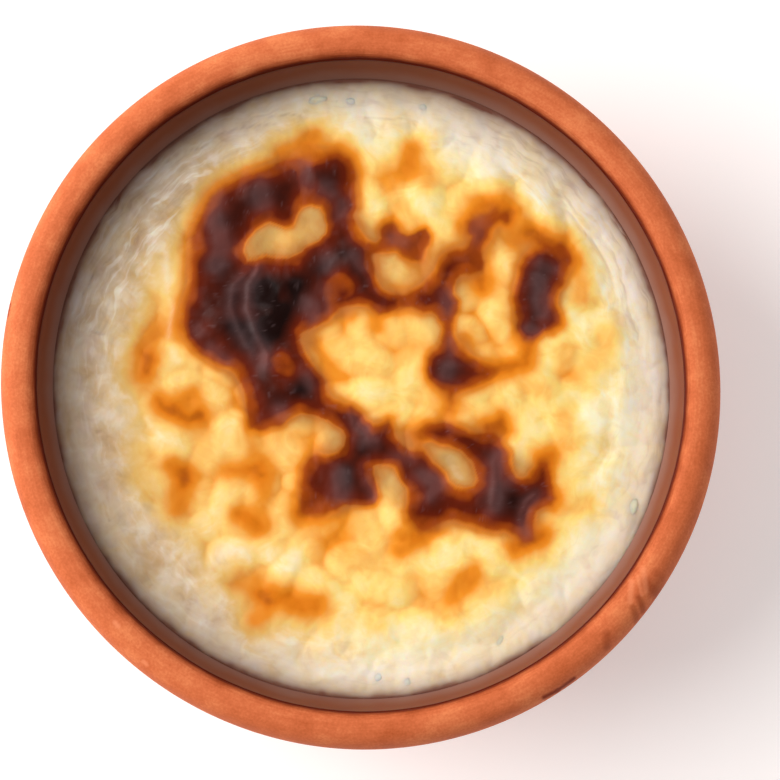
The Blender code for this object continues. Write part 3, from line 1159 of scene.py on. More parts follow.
@dataclass
class Pudding:
    """The set pudding: a fine round grid with its relief, its browning and its milky edge.

    The sizes of its skin are in millimetres, and directions around it are in degrees.
    """

    section: BowlSection
    marks: ScorchMarks
    rice: RicePacking
    folds: tuple[Fold, ...]
    blisters: tuple[tuple[float, float, float, float], ...] = ()
    dimples: tuple[tuple[float, float, float, float], ...] = ()
    mound_sharpness: float = 1.4
    rice_shown: float = 0.42
    puffs: tuple[Noise, ...] = (Noise(0.30, 3.8, 71), Noise(0.08, 1.9, 72))
    pores: Noise = Noise(0.05, 0.9, 73)
    burnt_levels: Pair = (0.45, 0.55)
    # Painted glints: soft highlight patches and small bright specks on the burnt skin
    painted_glints: tuple[tuple[float, Noise, float, float], ...] = (
        (0.16, Noise(1.0, 1.4, 84), 0.30, 0.80),
        (0.55, Noise(1.0, 0.7, 85), 0.72, 0.97),
    )
    edge_wander: tuple[Noise, ...] = (Noise(0.35, 3.6, 91), Noise(0.10, 1.1, 92))
    haze: float = 0.205
    haze_clouds: tuple[Noise, ...] = (Noise(0.035, 7.5, 81), Noise(0.03, 2.6, 82))
    char_clouds: Noise = Noise(0.09, 2.6, 83)
    # Clouds in the painted shade
    shade_clouds: Noise = Noise(0.35, 4.2, 93)
    fill_height: float = 34.4 * MM
    edge_climb_width: float = 1.4
    edge_climb: float = 0.20
    edge_overlap: float = 0.05
    skin_radius: float = 48.5
    skin_slope_width: float = 5.0
    skin_rise: float = 0.25
    # Wall colour through thin milk at the edge, with painted shade: its strength and reach change with
    # direction, and a dark line is painted at the very edge
    film: float = 0.95
    film_reach: float = 2.0
    wider_edge_shade: tuple[float, float, float] = (1.2, 62.0, 26.0)
    less_edge_shade: tuple[tuple[float, float, float], ...] = (
        (0.42, -36.0, 30.0),
        (0.10, 28.0, 16.0),
        (0.25, 205.0, 22.0),
    )
    edge_shade_line: float = 0.30
    edge_shade_line_width: float = 0.9
    strings: tuple[Pair, ...] = ((30.0, 38.0), (142.0, 28.0))
    # Painted shade: its strength, the direction it is strongest in, and its strength over the left half
    shade_tone: float = 0.31
    shade_direction: float = 178.0
    left_shade: float = 0.12
    tan: float = 0.62
    laid_off: Pair = (-0.17, -0.75)
    cells: int = 288
    side_rings: int = 10
    side_drop: float = 1.3 * MM
    side_gap: float = 0.1 * MM
    side_crowding: float = 0.8
    underside: float = 7.5 * MM

    def build(self, skin: Material) -> None:
        """Builds the pudding and hands it over.

        Args:
            skin: The material of the whole pudding.
        """
        piece = new_object("pudding_skin", self.mesh())
        piece.data.materials.append(skin)
        hand_over(piece, "pudding")

    @property
    def edge_radius(self) -> float:
        """Radius where the skin meets the glaze, in millimetres."""
        wall = self.section.wall_radius(self.fill_height + self.edge_climb * MM)
        return float(wall) / MM + self.edge_overlap

    def disc(self) -> tuple[Array, Array]:
        """Places of a square grid drawn onto a disc, in millimetres, row by row."""
        line = np.linspace(-1.0, 1.0, self.cells + 1)
        across, along = np.meshgrid(line, line, indexing="xy")
        wide = np.abs(across) >= np.abs(along)
        safe_across = np.where(across == 0.0, 1e-9, across)
        safe_along = np.where(along == 0.0, 1e-9, along)
        upright = math.pi / 2.0 - math.pi / 4.0 * across / safe_along
        angle = np.where(wide, math.pi / 4.0 * along / safe_across, upright)
        radius = np.where(wide, across, along)
        return tuple(radius * way(angle) * self.edge_radius for way in (np.cos, np.sin))

    def relief(self, distance: Array, x: Array, y: Array, browning: Array) -> tuple[Array, Array]:
        """Height of the skin above the fill line, in millimetres.

        Args:
            distance: Distance from the middle, in millimetres.
            x: Places across in the layout of the marks, in millimetres.
            y: Places along in that layout, in millimetres.
            browning: How far each place is browned.

        Returns:
            The height, and how high each place lies on the rice, from 0 to 1.
        """
        inward = (self.edge_radius - distance) / self.edge_climb_width
        on_skin = ramp(distance, self.skin_radius, self.skin_radius - self.skin_slope_width)
        burnt = ramp(browning, 0.40, 0.70)
        rice = self.rice.relief(x, y)
        height = rice * self.rice_shown * (1.0 + on_skin) * (1.0 - 0.5 * burnt)
        height += self.skin_rise * on_skin
        for sign, mounds in ((1.0, self.blisters), (-1.0, self.dimples)):
            for middle_x, middle_y, radius, rise in mounds:
                squared = ((x - middle_x) ** 2 + (y - middle_y) ** 2) / radius**2
                height += sign * rise * np.exp(-self.mound_sharpness * squared)
        height += burnt * sum(noise.at(x, y) for noise in self.puffs) + self.pores.at(x, y)
        height *= smooth(inward)
        climb = self.edge_climb * np.clip(1.0 - inward, 0.0, None) ** 2
        return height + climb, np.clip(rice, 0.0, 1.0)

    def folded(self, x: Array, y: Array) -> tuple[Array, Array, Array]:
        """What the folds add to the skin.

        Args:
            x, y: Places across and along, in millimetres.

        Returns:
            Height in millimetres, milkiness, and how much wall colour and painted crease shade shows, at
            each place.
        """
        height, milk, wall_and_crease_shade = np.zeros(x.shape), np.zeros(x.shape), np.zeros(x.shape)
        for fold in self.folds:
            inside = stroke_distance(x, y, fold.path)
            shown = np.exp(-((np.maximum(inside + fold.fade, 0.0) / fold.fade) ** 2))
            height += fold.rise * shown
            milk = np.maximum(milk, fold.milk * shown)
            wall_and_crease_shade = np.maximum(wall_and_crease_shade, fold.wall_and_crease_shade * shown)
        return height, milk, wall_and_crease_shade

    def fields(self, x: Array, y: Array) -> dict[str, Array]:
        """The skin's height and the values that its finish reads.

        Args:
            x, y: Places across and along, in millimetres.

        Returns:
            "height" above the fill line in millimetres, and one array for each mesh attribute.
        """
        distance, angle = np.hypot(x, y), np.arctan2(y, x)
        x, y = x - self.laid_off[0], y - self.laid_off[1]
        level, around = self.marks.browning(x, y), self.marks.heat(x, y)
        height, on_rice = self.relief(distance, x, y, level)
        raised, milk, wall_and_crease_shade = self.folded(x, y)
        burnt = ramp(level, *self.burnt_levels)
        painted_glints = sum(share * ramp(noise.at(x, y), *ends) for share, noise, *ends in self.painted_glints)
        uneven = sum(noise.at(x, y) for noise in self.edge_wander)
        stringy = 0.25 + 0.75 * sum(self.towards(angle, *way) for way in self.strings)
        strung = ramp(distance + uneven, 39.0, 45.0) * stringy
        seen = self.wall_and_edge_shade(distance - uneven, angle)
        return {
            "height": height + raised,
            "browning": self.tinted(x, y, level, on_rice, around),
            # Painted sheen and painted glints on the burnt skin
            "lifted": np.clip(self.marks.lift(x, y) + painted_glints, 0.0, 1.0) * burnt,
            # Wall colour and painted shade at the edge and in creases
            "wall_and_shade": np.clip(np.maximum(seen, wall_and_crease_shade), 0.0, 1.0),
            "milky": milk * (1.0 - burnt),
            # Painted shade near the wall and on the left, and tan between burnt marks
            "shade_and_tan": self.shade_and_tan_share(x, y, (distance, angle), level, around),
            "border": strung * ramp(level, 0.22, 0.10),
        }

    def wall_and_edge_shade(self, distance: Array, angle: Array) -> Array:
        """How much of the wall shows through the thin film of milk at the edge, together with painted shade
        near the wall that changes with direction as the light does, and a painted dark line at the very
        edge.

        Args:
            distance: Distance from the middle, in millimetres, made a little uneven.
            angle: Direction from the middle.

        Returns:
            The share of the wall's colour, which also paints the shade, at each place.
        """
        from_edge = np.maximum(self.edge_radius - distance, 0.0)
        # Painted shade near the wall, lighter on the lit sides and reaching further on the shaded side
        film = self.film - sum(part * self.towards(angle, *way) for part, *way in self.less_edge_shade)
        wider, *way = self.wider_edge_shade
        reach = self.film_reach + wider * self.towards(angle, *way)
        # A painted dark line of shade right at the edge
        line = self.edge_shade_line * np.exp(-((from_edge / self.edge_shade_line_width) ** 2))
        return film * np.exp(-from_edge / reach) + line

    def shade_and_tan_share(self, x: Array, y: Array, seat: tuple[Array, Array], level: Array, around: Array) -> Array:
        """Where painted shade greys the skin near the wall and over the left side, and where the skin is
        tanned between burnt marks.

        Args:
            x: Places across in the layout of the marks, in millimetres.
            y: Places along in that layout, in millimetres.
            seat: Distance in millimetres and direction from the middle of the bowl.
            level: Browning by the marks.
            around: How much of the skin around each place is burnt.

        Returns:
            The share of the greyish shade tone at each place.
        """
        distance, angle = seat
        # Painted shade, strongest near the wall on one side, and over the left half
        shaded = ramp(np.cos(angle - math.radians(self.shade_direction)), -0.25, 0.85)
        shaded *= ramp(distance, 34.0, 44.0) * (1.0 - 0.45 * ramp(distance, 46.5, 50.0))
        shade_tone = self.shade_tone * shaded * (1.0 + self.shade_clouds.at(x, y))
        shade_tone += self.left_shade * ramp(x, 2.0, -22.0)
        tan = self.tan * ramp(around, 0.24, 0.56)
        return np.maximum(shade_tone * ramp(level, 0.50, 0.32), tan * ramp(level, 0.52, 0.40))

    @staticmethod
    def towards(angle: Array, direction: float, spread: float) -> Array:
        """1 in a direction and fading away from it; direction and spread are in degrees."""
        off = (np.degrees(angle) - direction + 180.0) % 360.0 - 180.0
        return np.exp(-((off / spread) ** 2))

    def mesh(self) -> bpy.types.Mesh:
        """Makes the skin, draws its side down the wall and closes it underneath."""
        x, y = self.disc()
        fields = self.fields(x, y)
        height = fields.pop("height")
        index = np.arange(x.size).reshape(x.shape)
        corners = [index[:-1, :-1], index[:-1, 1:], index[1:, 1:], index[1:, :-1]]
        faces = np.stack(corners, axis=-1).reshape(-1, 4).tolist()
        rim = np.concatenate([index[0, :-1], index[:-1, -1], index[-1, :0:-1], index[:0:-1, 0]])
        places = np.stack([x, y, height], axis=-1).reshape(-1, 3) * MM
        places[:, 2] += self.fill_height
        directions = places[rim, :2] / np.linalg.norm(places[rim, :2], axis=1, keepdims=True)
        top = self.fill_height - self.side_drop
        vertices, ring, offset = [places], rim, len(places)
        for step in range(1, self.side_rings + 1):
            share = (step / self.side_rings) ** self.side_crowding
            level = top + (self.underside - top) * share
            radius = float(self.section.wall_radius(level)) - self.side_gap
            vertices.append(np.column_stack([directions * radius, np.full(len(rim), level)]))
            fresh = np.arange(offset, offset + len(rim))
            sides = [ring, fresh, np.roll(fresh, -1), np.roll(ring, -1)]
            faces += np.stack(sides, axis=-1).tolist()
            ring, offset = fresh, offset + len(rim)
        vertices.append(np.array([[0.0, 0.0, self.underside]]))
        faces += [(int(a), offset, int(b)) for a, b in zip(ring, np.roll(ring, -1))]
        stacked = np.concatenate(vertices)
        stacked[:, 0], stacked[:, 1] = self.section.stretch(stacked[:, 0], stacked[:, 1])
        mesh = bpy.data.meshes.new("pudding_skin")
        mesh.from_pydata(stacked.tolist(), [], faces)
        face_outwards(mesh)
        on_the_side = {"browning": 0.1, "wall_and_shade": 0.7}
        for name, shown in fields.items():
            values = np.full(len(stacked), on_the_side.get(name, 0.0))
            values[: shown.size] = shown.reshape(-1)
            carry(mesh, name, values)
        mesh.shade_smooth()
        return mesh

    def tinted(self, x: Array, y: Array, level: Array, on_rice: Array, around: Array) -> Array:
        """Adds the toast that lies all over the skin, and spares the tops of the grains.

        Args:
            x, y: Places across and along, in millimetres.
            level: Browning by the marks.
            on_rice: How high each place lies on the rice.
            around: How much of the skin around each place is burnt.

        Returns:
            The browning that the material reads.
        """
        distance = np.hypot(x, y)
        # Paler towards the edge, and a little paler on the right
        haze = self.haze - 0.05 * ramp(distance, 22.0, 40.0) - 0.115 * ramp(distance, 38.0, 49.0)
        haze -= 0.05 * ramp(x, 14.0, 34.0) * ramp(distance, 42.0, 36.0)
        haze += sum(noise.at(x, y) for noise in self.haze_clouds)
        # Browner between the grains and paler on their tops: partly the toast's own tone, partly painted
        # shade between the grains
        haze += 0.14 * around + 0.25 * (0.6 - on_rice) * ramp(distance, 46.0, 38.0)
        border = ramp(level, 0.12, 0.32) * ramp(level, 0.70, 0.55)
        spared = level - 0.05 * border * (on_rice - 0.45)
        charred = self.char_clouds.at(x, y) * ramp(level, 0.50, 0.65)
        return (np.maximum(haze, 0.0) ** 4 + np.maximum(spared, 0.0) ** 4) ** 0.25 + charred


@dataclass
class RiceGrains:
    """Grains of rice half sunk in the milky edge of the pudding, seated by Geometry Nodes."""

    pudding: Pudding
    placed: tuple[tuple[float, float, float, float, float], ...]
    thickness: float = 0.42
    shown: float = 0.05
    ripple: float = 0.35 * MM
    ripple_size: float = 2.2 * MM
    seed: int = 19

    def seats(self) -> bpy.types.Object:
        """Marks the grains' places as points that carry each grain's size and its finish."""
        x, y, turn, length, width = np.array(self.placed).T
        x, y = x + self.pudding.laid_off[0], y + self.pudding.laid_off[1]
        fields = self.pudding.fields(x, y)
        half_height = width * self.thickness / 2.0
        middle = fields.pop("height") + self.shown - half_height
        places = np.column_stack([x, y, middle]) * MM
        places[:, 2] += self.pudding.fill_height
        places[:, 0], places[:, 1] = self.pudding.section.stretch(places[:, 0], places[:, 1])
        mesh = bpy.data.meshes.new("rice_seats")
        mesh.from_pydata(places.tolist(), [], [])
        sizes = {
            "turn": turn,
            "half_length": length / 2.0 * MM,
            "half_width": width / 2.0 * MM,
            "half_height": half_height * MM,
        }
        for name, values in (sizes | fields).items():
            carry(mesh, name, values)
        return new_object("rice_seats", mesh)

    def tree(self) -> Tree:
        """Builds the node tree that puts a rippled grain on every seat."""
        tree = bpy.data.node_groups.new("half_sunk_rice", "GeometryNodeTree")
        taken = {"Seats": "Geometry"} | dict.fromkeys(("Ripple", "Ripple Size", "Seed"), "Float")
        node_sockets(tree, taken | {"Skin": "Material"}, "Rice")
        given = add_node(tree, "NodeGroupInput").outputs
        kind = "GeometryNodeInputNamedAttribute"
        turn, *sizes = (
            add_node(tree, kind, {"Name": name}, data_type="FLOAT").outputs["Attribute"]
            for name in ("turn", "half_length", "half_width", "half_height")
        )
        ball = {"Segments": 28, "Rings": 16, "Radius": 1.0}
        grain = add_node(tree, "GeometryNodeMeshUVSphere", ball).outputs["Mesh"]
        turned = add_node(tree, "ShaderNodeCombineXYZ", {2: turn}).outputs[0]
        sized = add_node(tree, "ShaderNodeCombineXYZ", tuple(sizes)).outputs[0]
        seated = {"Points": given["Seats"], "Instance": grain, "Rotation": turned, "Scale": sized}
        strewn = add_node(tree, "GeometryNodeInstanceOnPoints", seated).outputs[0]
        real = add_node(tree, "GeometryNodeRealizeInstances", {"Geometry": strewn}).outputs[0]
        place = add_node(tree, "GeometryNodeInputPosition").outputs[0]
        size = given["Ripple Size"]
        scale = add_node(tree, "ShaderNodeMath", (1.0, size), operation="DIVIDE").outputs[0]
        waves = {"Vector": place, "W": given["Seed"], "Scale": scale}
        noise = add_node(tree, "ShaderNodeTexNoise", waves, noise_dimensions="4D").outputs["Color"]
        kind = "ShaderNodeVectorMath"
        middled = add_node(tree, kind, (noise, (0.5, 0.5, 0.5)), operation="SUBTRACT").outputs[0]
        scaling = {0: middled, "Scale": given["Ripple"]}
        push = add_node(tree, kind, scaling, operation="SCALE").outputs[0]
        moving = {"Geometry": real, "Offset": push}
        rippled = add_node(tree, "GeometryNodeSetPosition", moving).outputs[0]
        soft = add_node(tree, "GeometryNodeSetShadeSmooth", {"Geometry": rippled}).outputs[0]
        finish = {"Geometry": soft, "Material": given["Skin"]}
        clad = add_node(tree, "GeometryNodeSetMaterial", finish).outputs[0]
        add_node(tree, "NodeGroupOutput", {"Rice": clad})
        return tree

    def build(self, skin: Material) -> None:
        """Seats the grains and hands them over.

        Args:
            skin: The material of the pudding's skin, which lies over the grains too.
        """
        sizes = {"Ripple": self.ripple, "Ripple Size": self.ripple_size, "Seed": float(self.seed)}
        mesh = grown(self.seats(), self.tree(), "rice_grains", sizes | {"Skin": skin})
        hand_over(new_object("rice_grains", mesh))


# Marks on the skin, in millimetres from the middle of the pudding. An outline's corners are x, y
# and how wide its edge fades; a stroke's points are x, y and half width
HORSESHOE_AND_RING = Patch(
    0.80,
    (
        (-28.2, 24.0, 1.2), (-27.8, 28.0, 1.3), (-26.6, 30.2, 1.4), (-25.4, 32.2, 1.4),
        (-24.0, 33.6, 1.5), (-21.8, 34.8, 1.5), (-19.3, 36.0, 1.5), (-16.6, 37.2, 1.5),
        (-14.0, 38.2, 1.4), (-11.4, 39.0, 1.4), (-8.6, 39.6, 1.5), (-5.8, 39.7, 1.4),
        (-3.6, 39.8, 1.6), (-2.2, 38.9, 1.5), (-1.4, 37.2, 1.4), (-1.4, 35.0, 1.3),
        (-1.1, 33.0, 1.2), (-0.6, 31.0, 1.0), (-1.2, 29.4, 0.9), (-0.7, 27.8, 1.0),
        (0.2, 26.0, 1.0), (1.3, 24.4, 0.9), (1.6, 23.2, 0.9), (1.8, 21.8, 0.9),
        (2.0, 20.0, 1.0), (2.6, 18.0, 1.0), (3.8, 16.4, 1.0), (5.2, 15.5, 0.9),
        (6.4, 15.0, 0.8), (6.2, 14.2, 0.8), (4.8, 13.4, 0.8), (3.2, 13.3, 0.9),
        (1.8, 14.2, 0.9), (0.0, 14.6, 0.9), (-1.8, 14.8, 0.9), (-3.4, 14.4, 0.9),
        (-4.3, 13.2, 0.8), (-5.4, 12.0, 0.8), (-7.0, 11.0, 0.7), (-9.0, 10.4, 0.6),
        (-10.3, 9.4, 0.6), (-10.5, 8.0, 0.6), (-9.6, 6.6, 0.7), (-8.6, 5.0, 0.7),
        (-7.6, 3.6, 0.8), (-6.6, 2.2, 0.8), (-6.2, 0.6, 0.9), (-5.8, -0.8, 1.0),
        (-4.8, -2.0, 1.0), (-3.2, -2.8, 1.0), (-1.6, -3.0, 1.0), (-0.2, -4.2, 1.0),
        (0.6, -5.6, 1.0), (2.0, -6.6, 1.1), (3.6, -6.2, 1.2), (4.8, -5.6, 1.1),
        (5.6, -6.6, 0.8), (5.8, -8.2, 0.8), (6.6, -9.8, 0.8), (7.8, -10.8, 0.8),
        (9.2, -11.4, 0.9), (10.6, -11.2, 1.2), (11.8, -12.4, 0.9), (13.4, -13.4, 0.7),
        (14.2, -14.6, 0.7), (14.7, -15.6, 0.7), (16.0, -16.8, 0.7), (17.8, -17.3, 0.7),
        (19.3, -16.6, 0.6), (19.8, -15.2, 0.6), (19.5, -13.4, 0.6), (18.6, -11.6, 0.6),
        (17.2, -10.2, 0.6), (15.4, -9.2, 0.7), (13.4, -8.7, 0.9), (11.4, -8.4, 1.2),
        (10.3, -7.9, 1.2), (10.2, -7.0, 1.1), (11.0, -6.3, 1.1), (13.0, -6.0, 1.1),
        (15.0, -5.9, 1.1), (17.0, -6.3, 1.1), (18.6, -7.3, 1.0), (20.2, -7.8, 0.9),
        (22.2, -7.9, 1.2), (23.6, -8.8, 1.1), (24.4, -10.0, 0.9), (24.9, -11.8, 0.8),
        (25.3, -13.4, 0.7), (26.2, -14.6, 0.7), (27.6, -15.0, 0.8), (28.8, -14.7, 0.9),
        (29.8, -13.4, 1.1), (30.4, -12.4, 1.4), (31.4, -12.2, 1.4), (32.0, -13.2, 1.1),
        (32.1, -15.2, 0.8), (32.4, -17.0, 0.9), (32.8, -18.2, 1.2), (32.2, -19.0, 1.1),
        (30.6, -19.2, 0.9), (29.6, -20.0, 0.7), (29.2, -21.6, 0.7), (28.9, -23.2, 0.9),
        (28.4, -24.6, 1.2), (27.4, -25.1, 1.4), (26.6, -24.2, 1.2), (25.0, -23.6, 1.0),
        (22.6, -23.2, 1.0), (20.2, -22.8, 1.0), (18.0, -22.0, 1.0), (15.6, -21.6, 1.1),
        (13.6, -22.2, 1.3), (11.8, -23.0, 1.5), (9.8, -22.8, 1.6), (8.4, -21.8, 1.5),
        (7.8, -20.4, 1.2), (7.9, -18.4, 0.9), (7.8, -16.4, 0.7), (7.2, -14.6, 0.7),
        (6.2, -13.0, 0.8), (4.8, -12.2, 0.9), (3.2, -12.2, 0.9), (2.0, -13.0, 0.7),
        (2.0, -14.6, 0.7), (2.4, -16.4, 0.7), (2.8, -18.0, 0.8), (2.2, -18.9, 0.8),
        (0.6, -19.1, 0.8), (-1.0, -18.9, 0.8), (-2.6, -19.3, 0.8), (-4.2, -20.1, 0.9),
        (-6.0, -20.2, 1.1), (-7.8, -20.0, 1.3), (-9.4, -19.6, 1.4), (-10.0, -18.0, 1.2),
        (-9.9, -15.8, 1.1), (-9.4, -13.6, 1.0), (-8.6, -12.0, 1.0), (-7.4, -11.4, 1.1),
        (-5.4, -11.4, 0.9), (-3.6, -10.7, 0.8), (-2.6, -9.5, 0.6), (-2.4, -8.2, 0.6),
        (-3.0, -7.0, 0.6), (-4.4, -5.7, 0.7), (-6.2, -4.6, 0.6), (-8.2, -4.0, 0.6),
        (-9.9, -4.1, 0.6), (-11.8, -5.1, 0.7), (-13.8, -6.1, 0.8), (-15.6, -6.6, 0.8),
        (-17.2, -7.0, 0.9), (-18.4, -6.8, 1.2), (-18.6, -5.0, 1.1), (-18.7, -3.0, 0.9),
        (-19.2, -1.0, 0.8), (-19.9, 0.8, 0.8), (-21.2, 2.5, 0.9), (-22.8, 3.8, 1.0),
        (-24.9, 4.8, 1.0), (-26.9, 5.9, 1.1), (-28.4, 7.2, 1.3), (-29.5, 9.0, 1.6),
        (-29.9, 11.0, 1.9), (-29.8, 13.0, 1.7), (-29.5, 15.0, 1.5), (-29.1, 17.0, 1.3),
        (-28.8, 19.0, 1.2), (-28.6, 21.5, 1.2),
    ),
    (
        (
            (-20.0, 23.2, 0.7), (-19.4, 24.6, 0.7), (-18.4, 26.0, 0.7), (-17.4, 27.2, 0.7),
            (-16.2, 28.2, 0.8), (-15.0, 28.7, 0.8), (-13.9, 28.3, 0.8), (-12.8, 27.8, 0.9),
            (-11.7, 28.3, 0.9), (-11.0, 29.8, 0.8), (-10.0, 31.2, 0.8), (-8.3, 31.8, 0.8),
            (-6.6, 31.3, 0.8), (-5.5, 30.0, 0.8), (-5.0, 28.3, 0.6), (-5.5, 26.3, 0.6),
            (-6.8, 24.9, 0.6), (-8.9, 23.9, 0.6), (-10.7, 22.6, 0.6), (-12.6, 21.8, 0.7),
            (-14.3, 21.7, 0.8), (-16.0, 22.1, 0.8), (-17.7, 21.5, 0.7), (-19.4, 21.5, 0.7),
        ),
        ((-4.6, 17.2, 2.4), (-3.2, 18.5, 2.4), (-1.6, 17.4, 2.4), (-2.2, 15.6, 2.4), (-4.0, 15.8, 2.4)),
        ((-14.6, 4.6, 2.6), (-13.4, 5.4, 2.6), (-12.4, 4.4, 2.6), (-12.8, 2.8, 2.6), (-14.0, 3.0, 2.6)),
    ),
)

STEM_AND_BLOB = Patch(
    0.76,
    (
        (14.2, 21.6, 1.2), (15.2, 23.0, 1.2), (16.6, 23.8, 1.1), (18.4, 24.0, 1.1),
        (19.8, 23.9, 1.0), (20.6, 23.0, 0.9), (20.8, 21.8, 0.8), (20.4, 20.8, 0.9),
        (19.0, 20.2, 0.9), (17.2, 20.0, 0.8), (16.2, 19.0, 0.7), (15.8, 17.6, 0.7),
        (16.0, 16.0, 0.7), (16.9, 14.8, 0.7), (16.6, 13.6, 0.7), (15.9, 12.4, 0.7),
        (15.6, 11.0, 0.7), (15.7, 9.4, 0.7), (16.2, 8.0, 0.9), (17.0, 6.8, 1.1),
        (18.2, 5.6, 1.0), (20.0, 4.8, 1.0), (21.6, 4.2, 1.2), (22.6, 3.0, 1.3),
        (22.0, 1.8, 1.1), (20.4, 1.0, 1.1), (18.6, 0.5, 1.0), (17.0, -0.1, 1.0),
        (15.6, -0.5, 1.3), (14.2, 0.1, 1.2), (13.0, 1.0, 1.0), (11.8, 2.2, 1.0),
        (11.3, 3.8, 1.0), (11.4, 5.4, 1.0), (12.2, 6.4, 1.0), (13.2, 7.1, 0.9),
        (13.9, 8.2, 0.7), (14.1, 9.6, 0.6), (13.9, 11.2, 0.6), (13.4, 12.6, 0.7),
        (12.2, 13.4, 0.8), (10.6, 13.8, 1.0), (9.8, 14.8, 1.2), (10.2, 16.0, 1.2),
        (11.2, 17.2, 1.2), (12.4, 18.6, 1.3), (13.4, 20.0, 1.3),
    ),
)

RIGHT_BAR = Patch(
    0.90,
    (
        (28.6, 22.4, 1.4), (30.0, 23.8, 1.7), (32.0, 24.2, 1.8), (34.0, 23.8, 1.8),
        (35.4, 22.2, 1.5), (35.3, 20.4, 1.2), (34.4, 18.8, 1.0), (33.8, 17.2, 0.9),
        (33.4, 15.4, 0.9), (33.4, 14.0, 0.9), (34.0, 12.6, 1.0), (34.0, 11.2, 1.1),
        (32.8, 10.3, 1.1), (31.4, 10.1, 0.9), (30.4, 9.3, 0.9), (29.2, 8.5, 1.1),
        (27.9, 8.7, 1.2), (27.2, 10.2, 1.0), (26.9, 12.0, 0.9), (26.8, 14.0, 0.9),
        (26.3, 15.6, 0.9), (26.4, 17.4, 0.9), (26.9, 19.0, 1.0), (27.6, 20.8, 1.2),
    ),
)

RED_LINK = Patch(
    0.60,
    (
        (1.8, 23.6, 0.9), (4.0, 23.7, 0.9), (6.6, 23.5, 0.9), (7.6, 22.6, 1.0),
        (8.8, 22.1, 1.2), (10.0, 22.4, 1.2), (10.8, 23.6, 1.1), (11.8, 24.8, 0.9),
        (12.0, 26.2, 0.8), (11.2, 27.2, 0.8), (9.8, 26.6, 0.7), (8.4, 26.0, 0.7),
        (7.2, 26.6, 0.8), (6.2, 27.6, 0.9), (5.0, 28.2, 1.1), (4.2, 27.4, 1.0),
        (4.4, 26.0, 0.9), (3.4, 24.9, 0.9), (1.8, 24.7, 0.9),
    ),
)

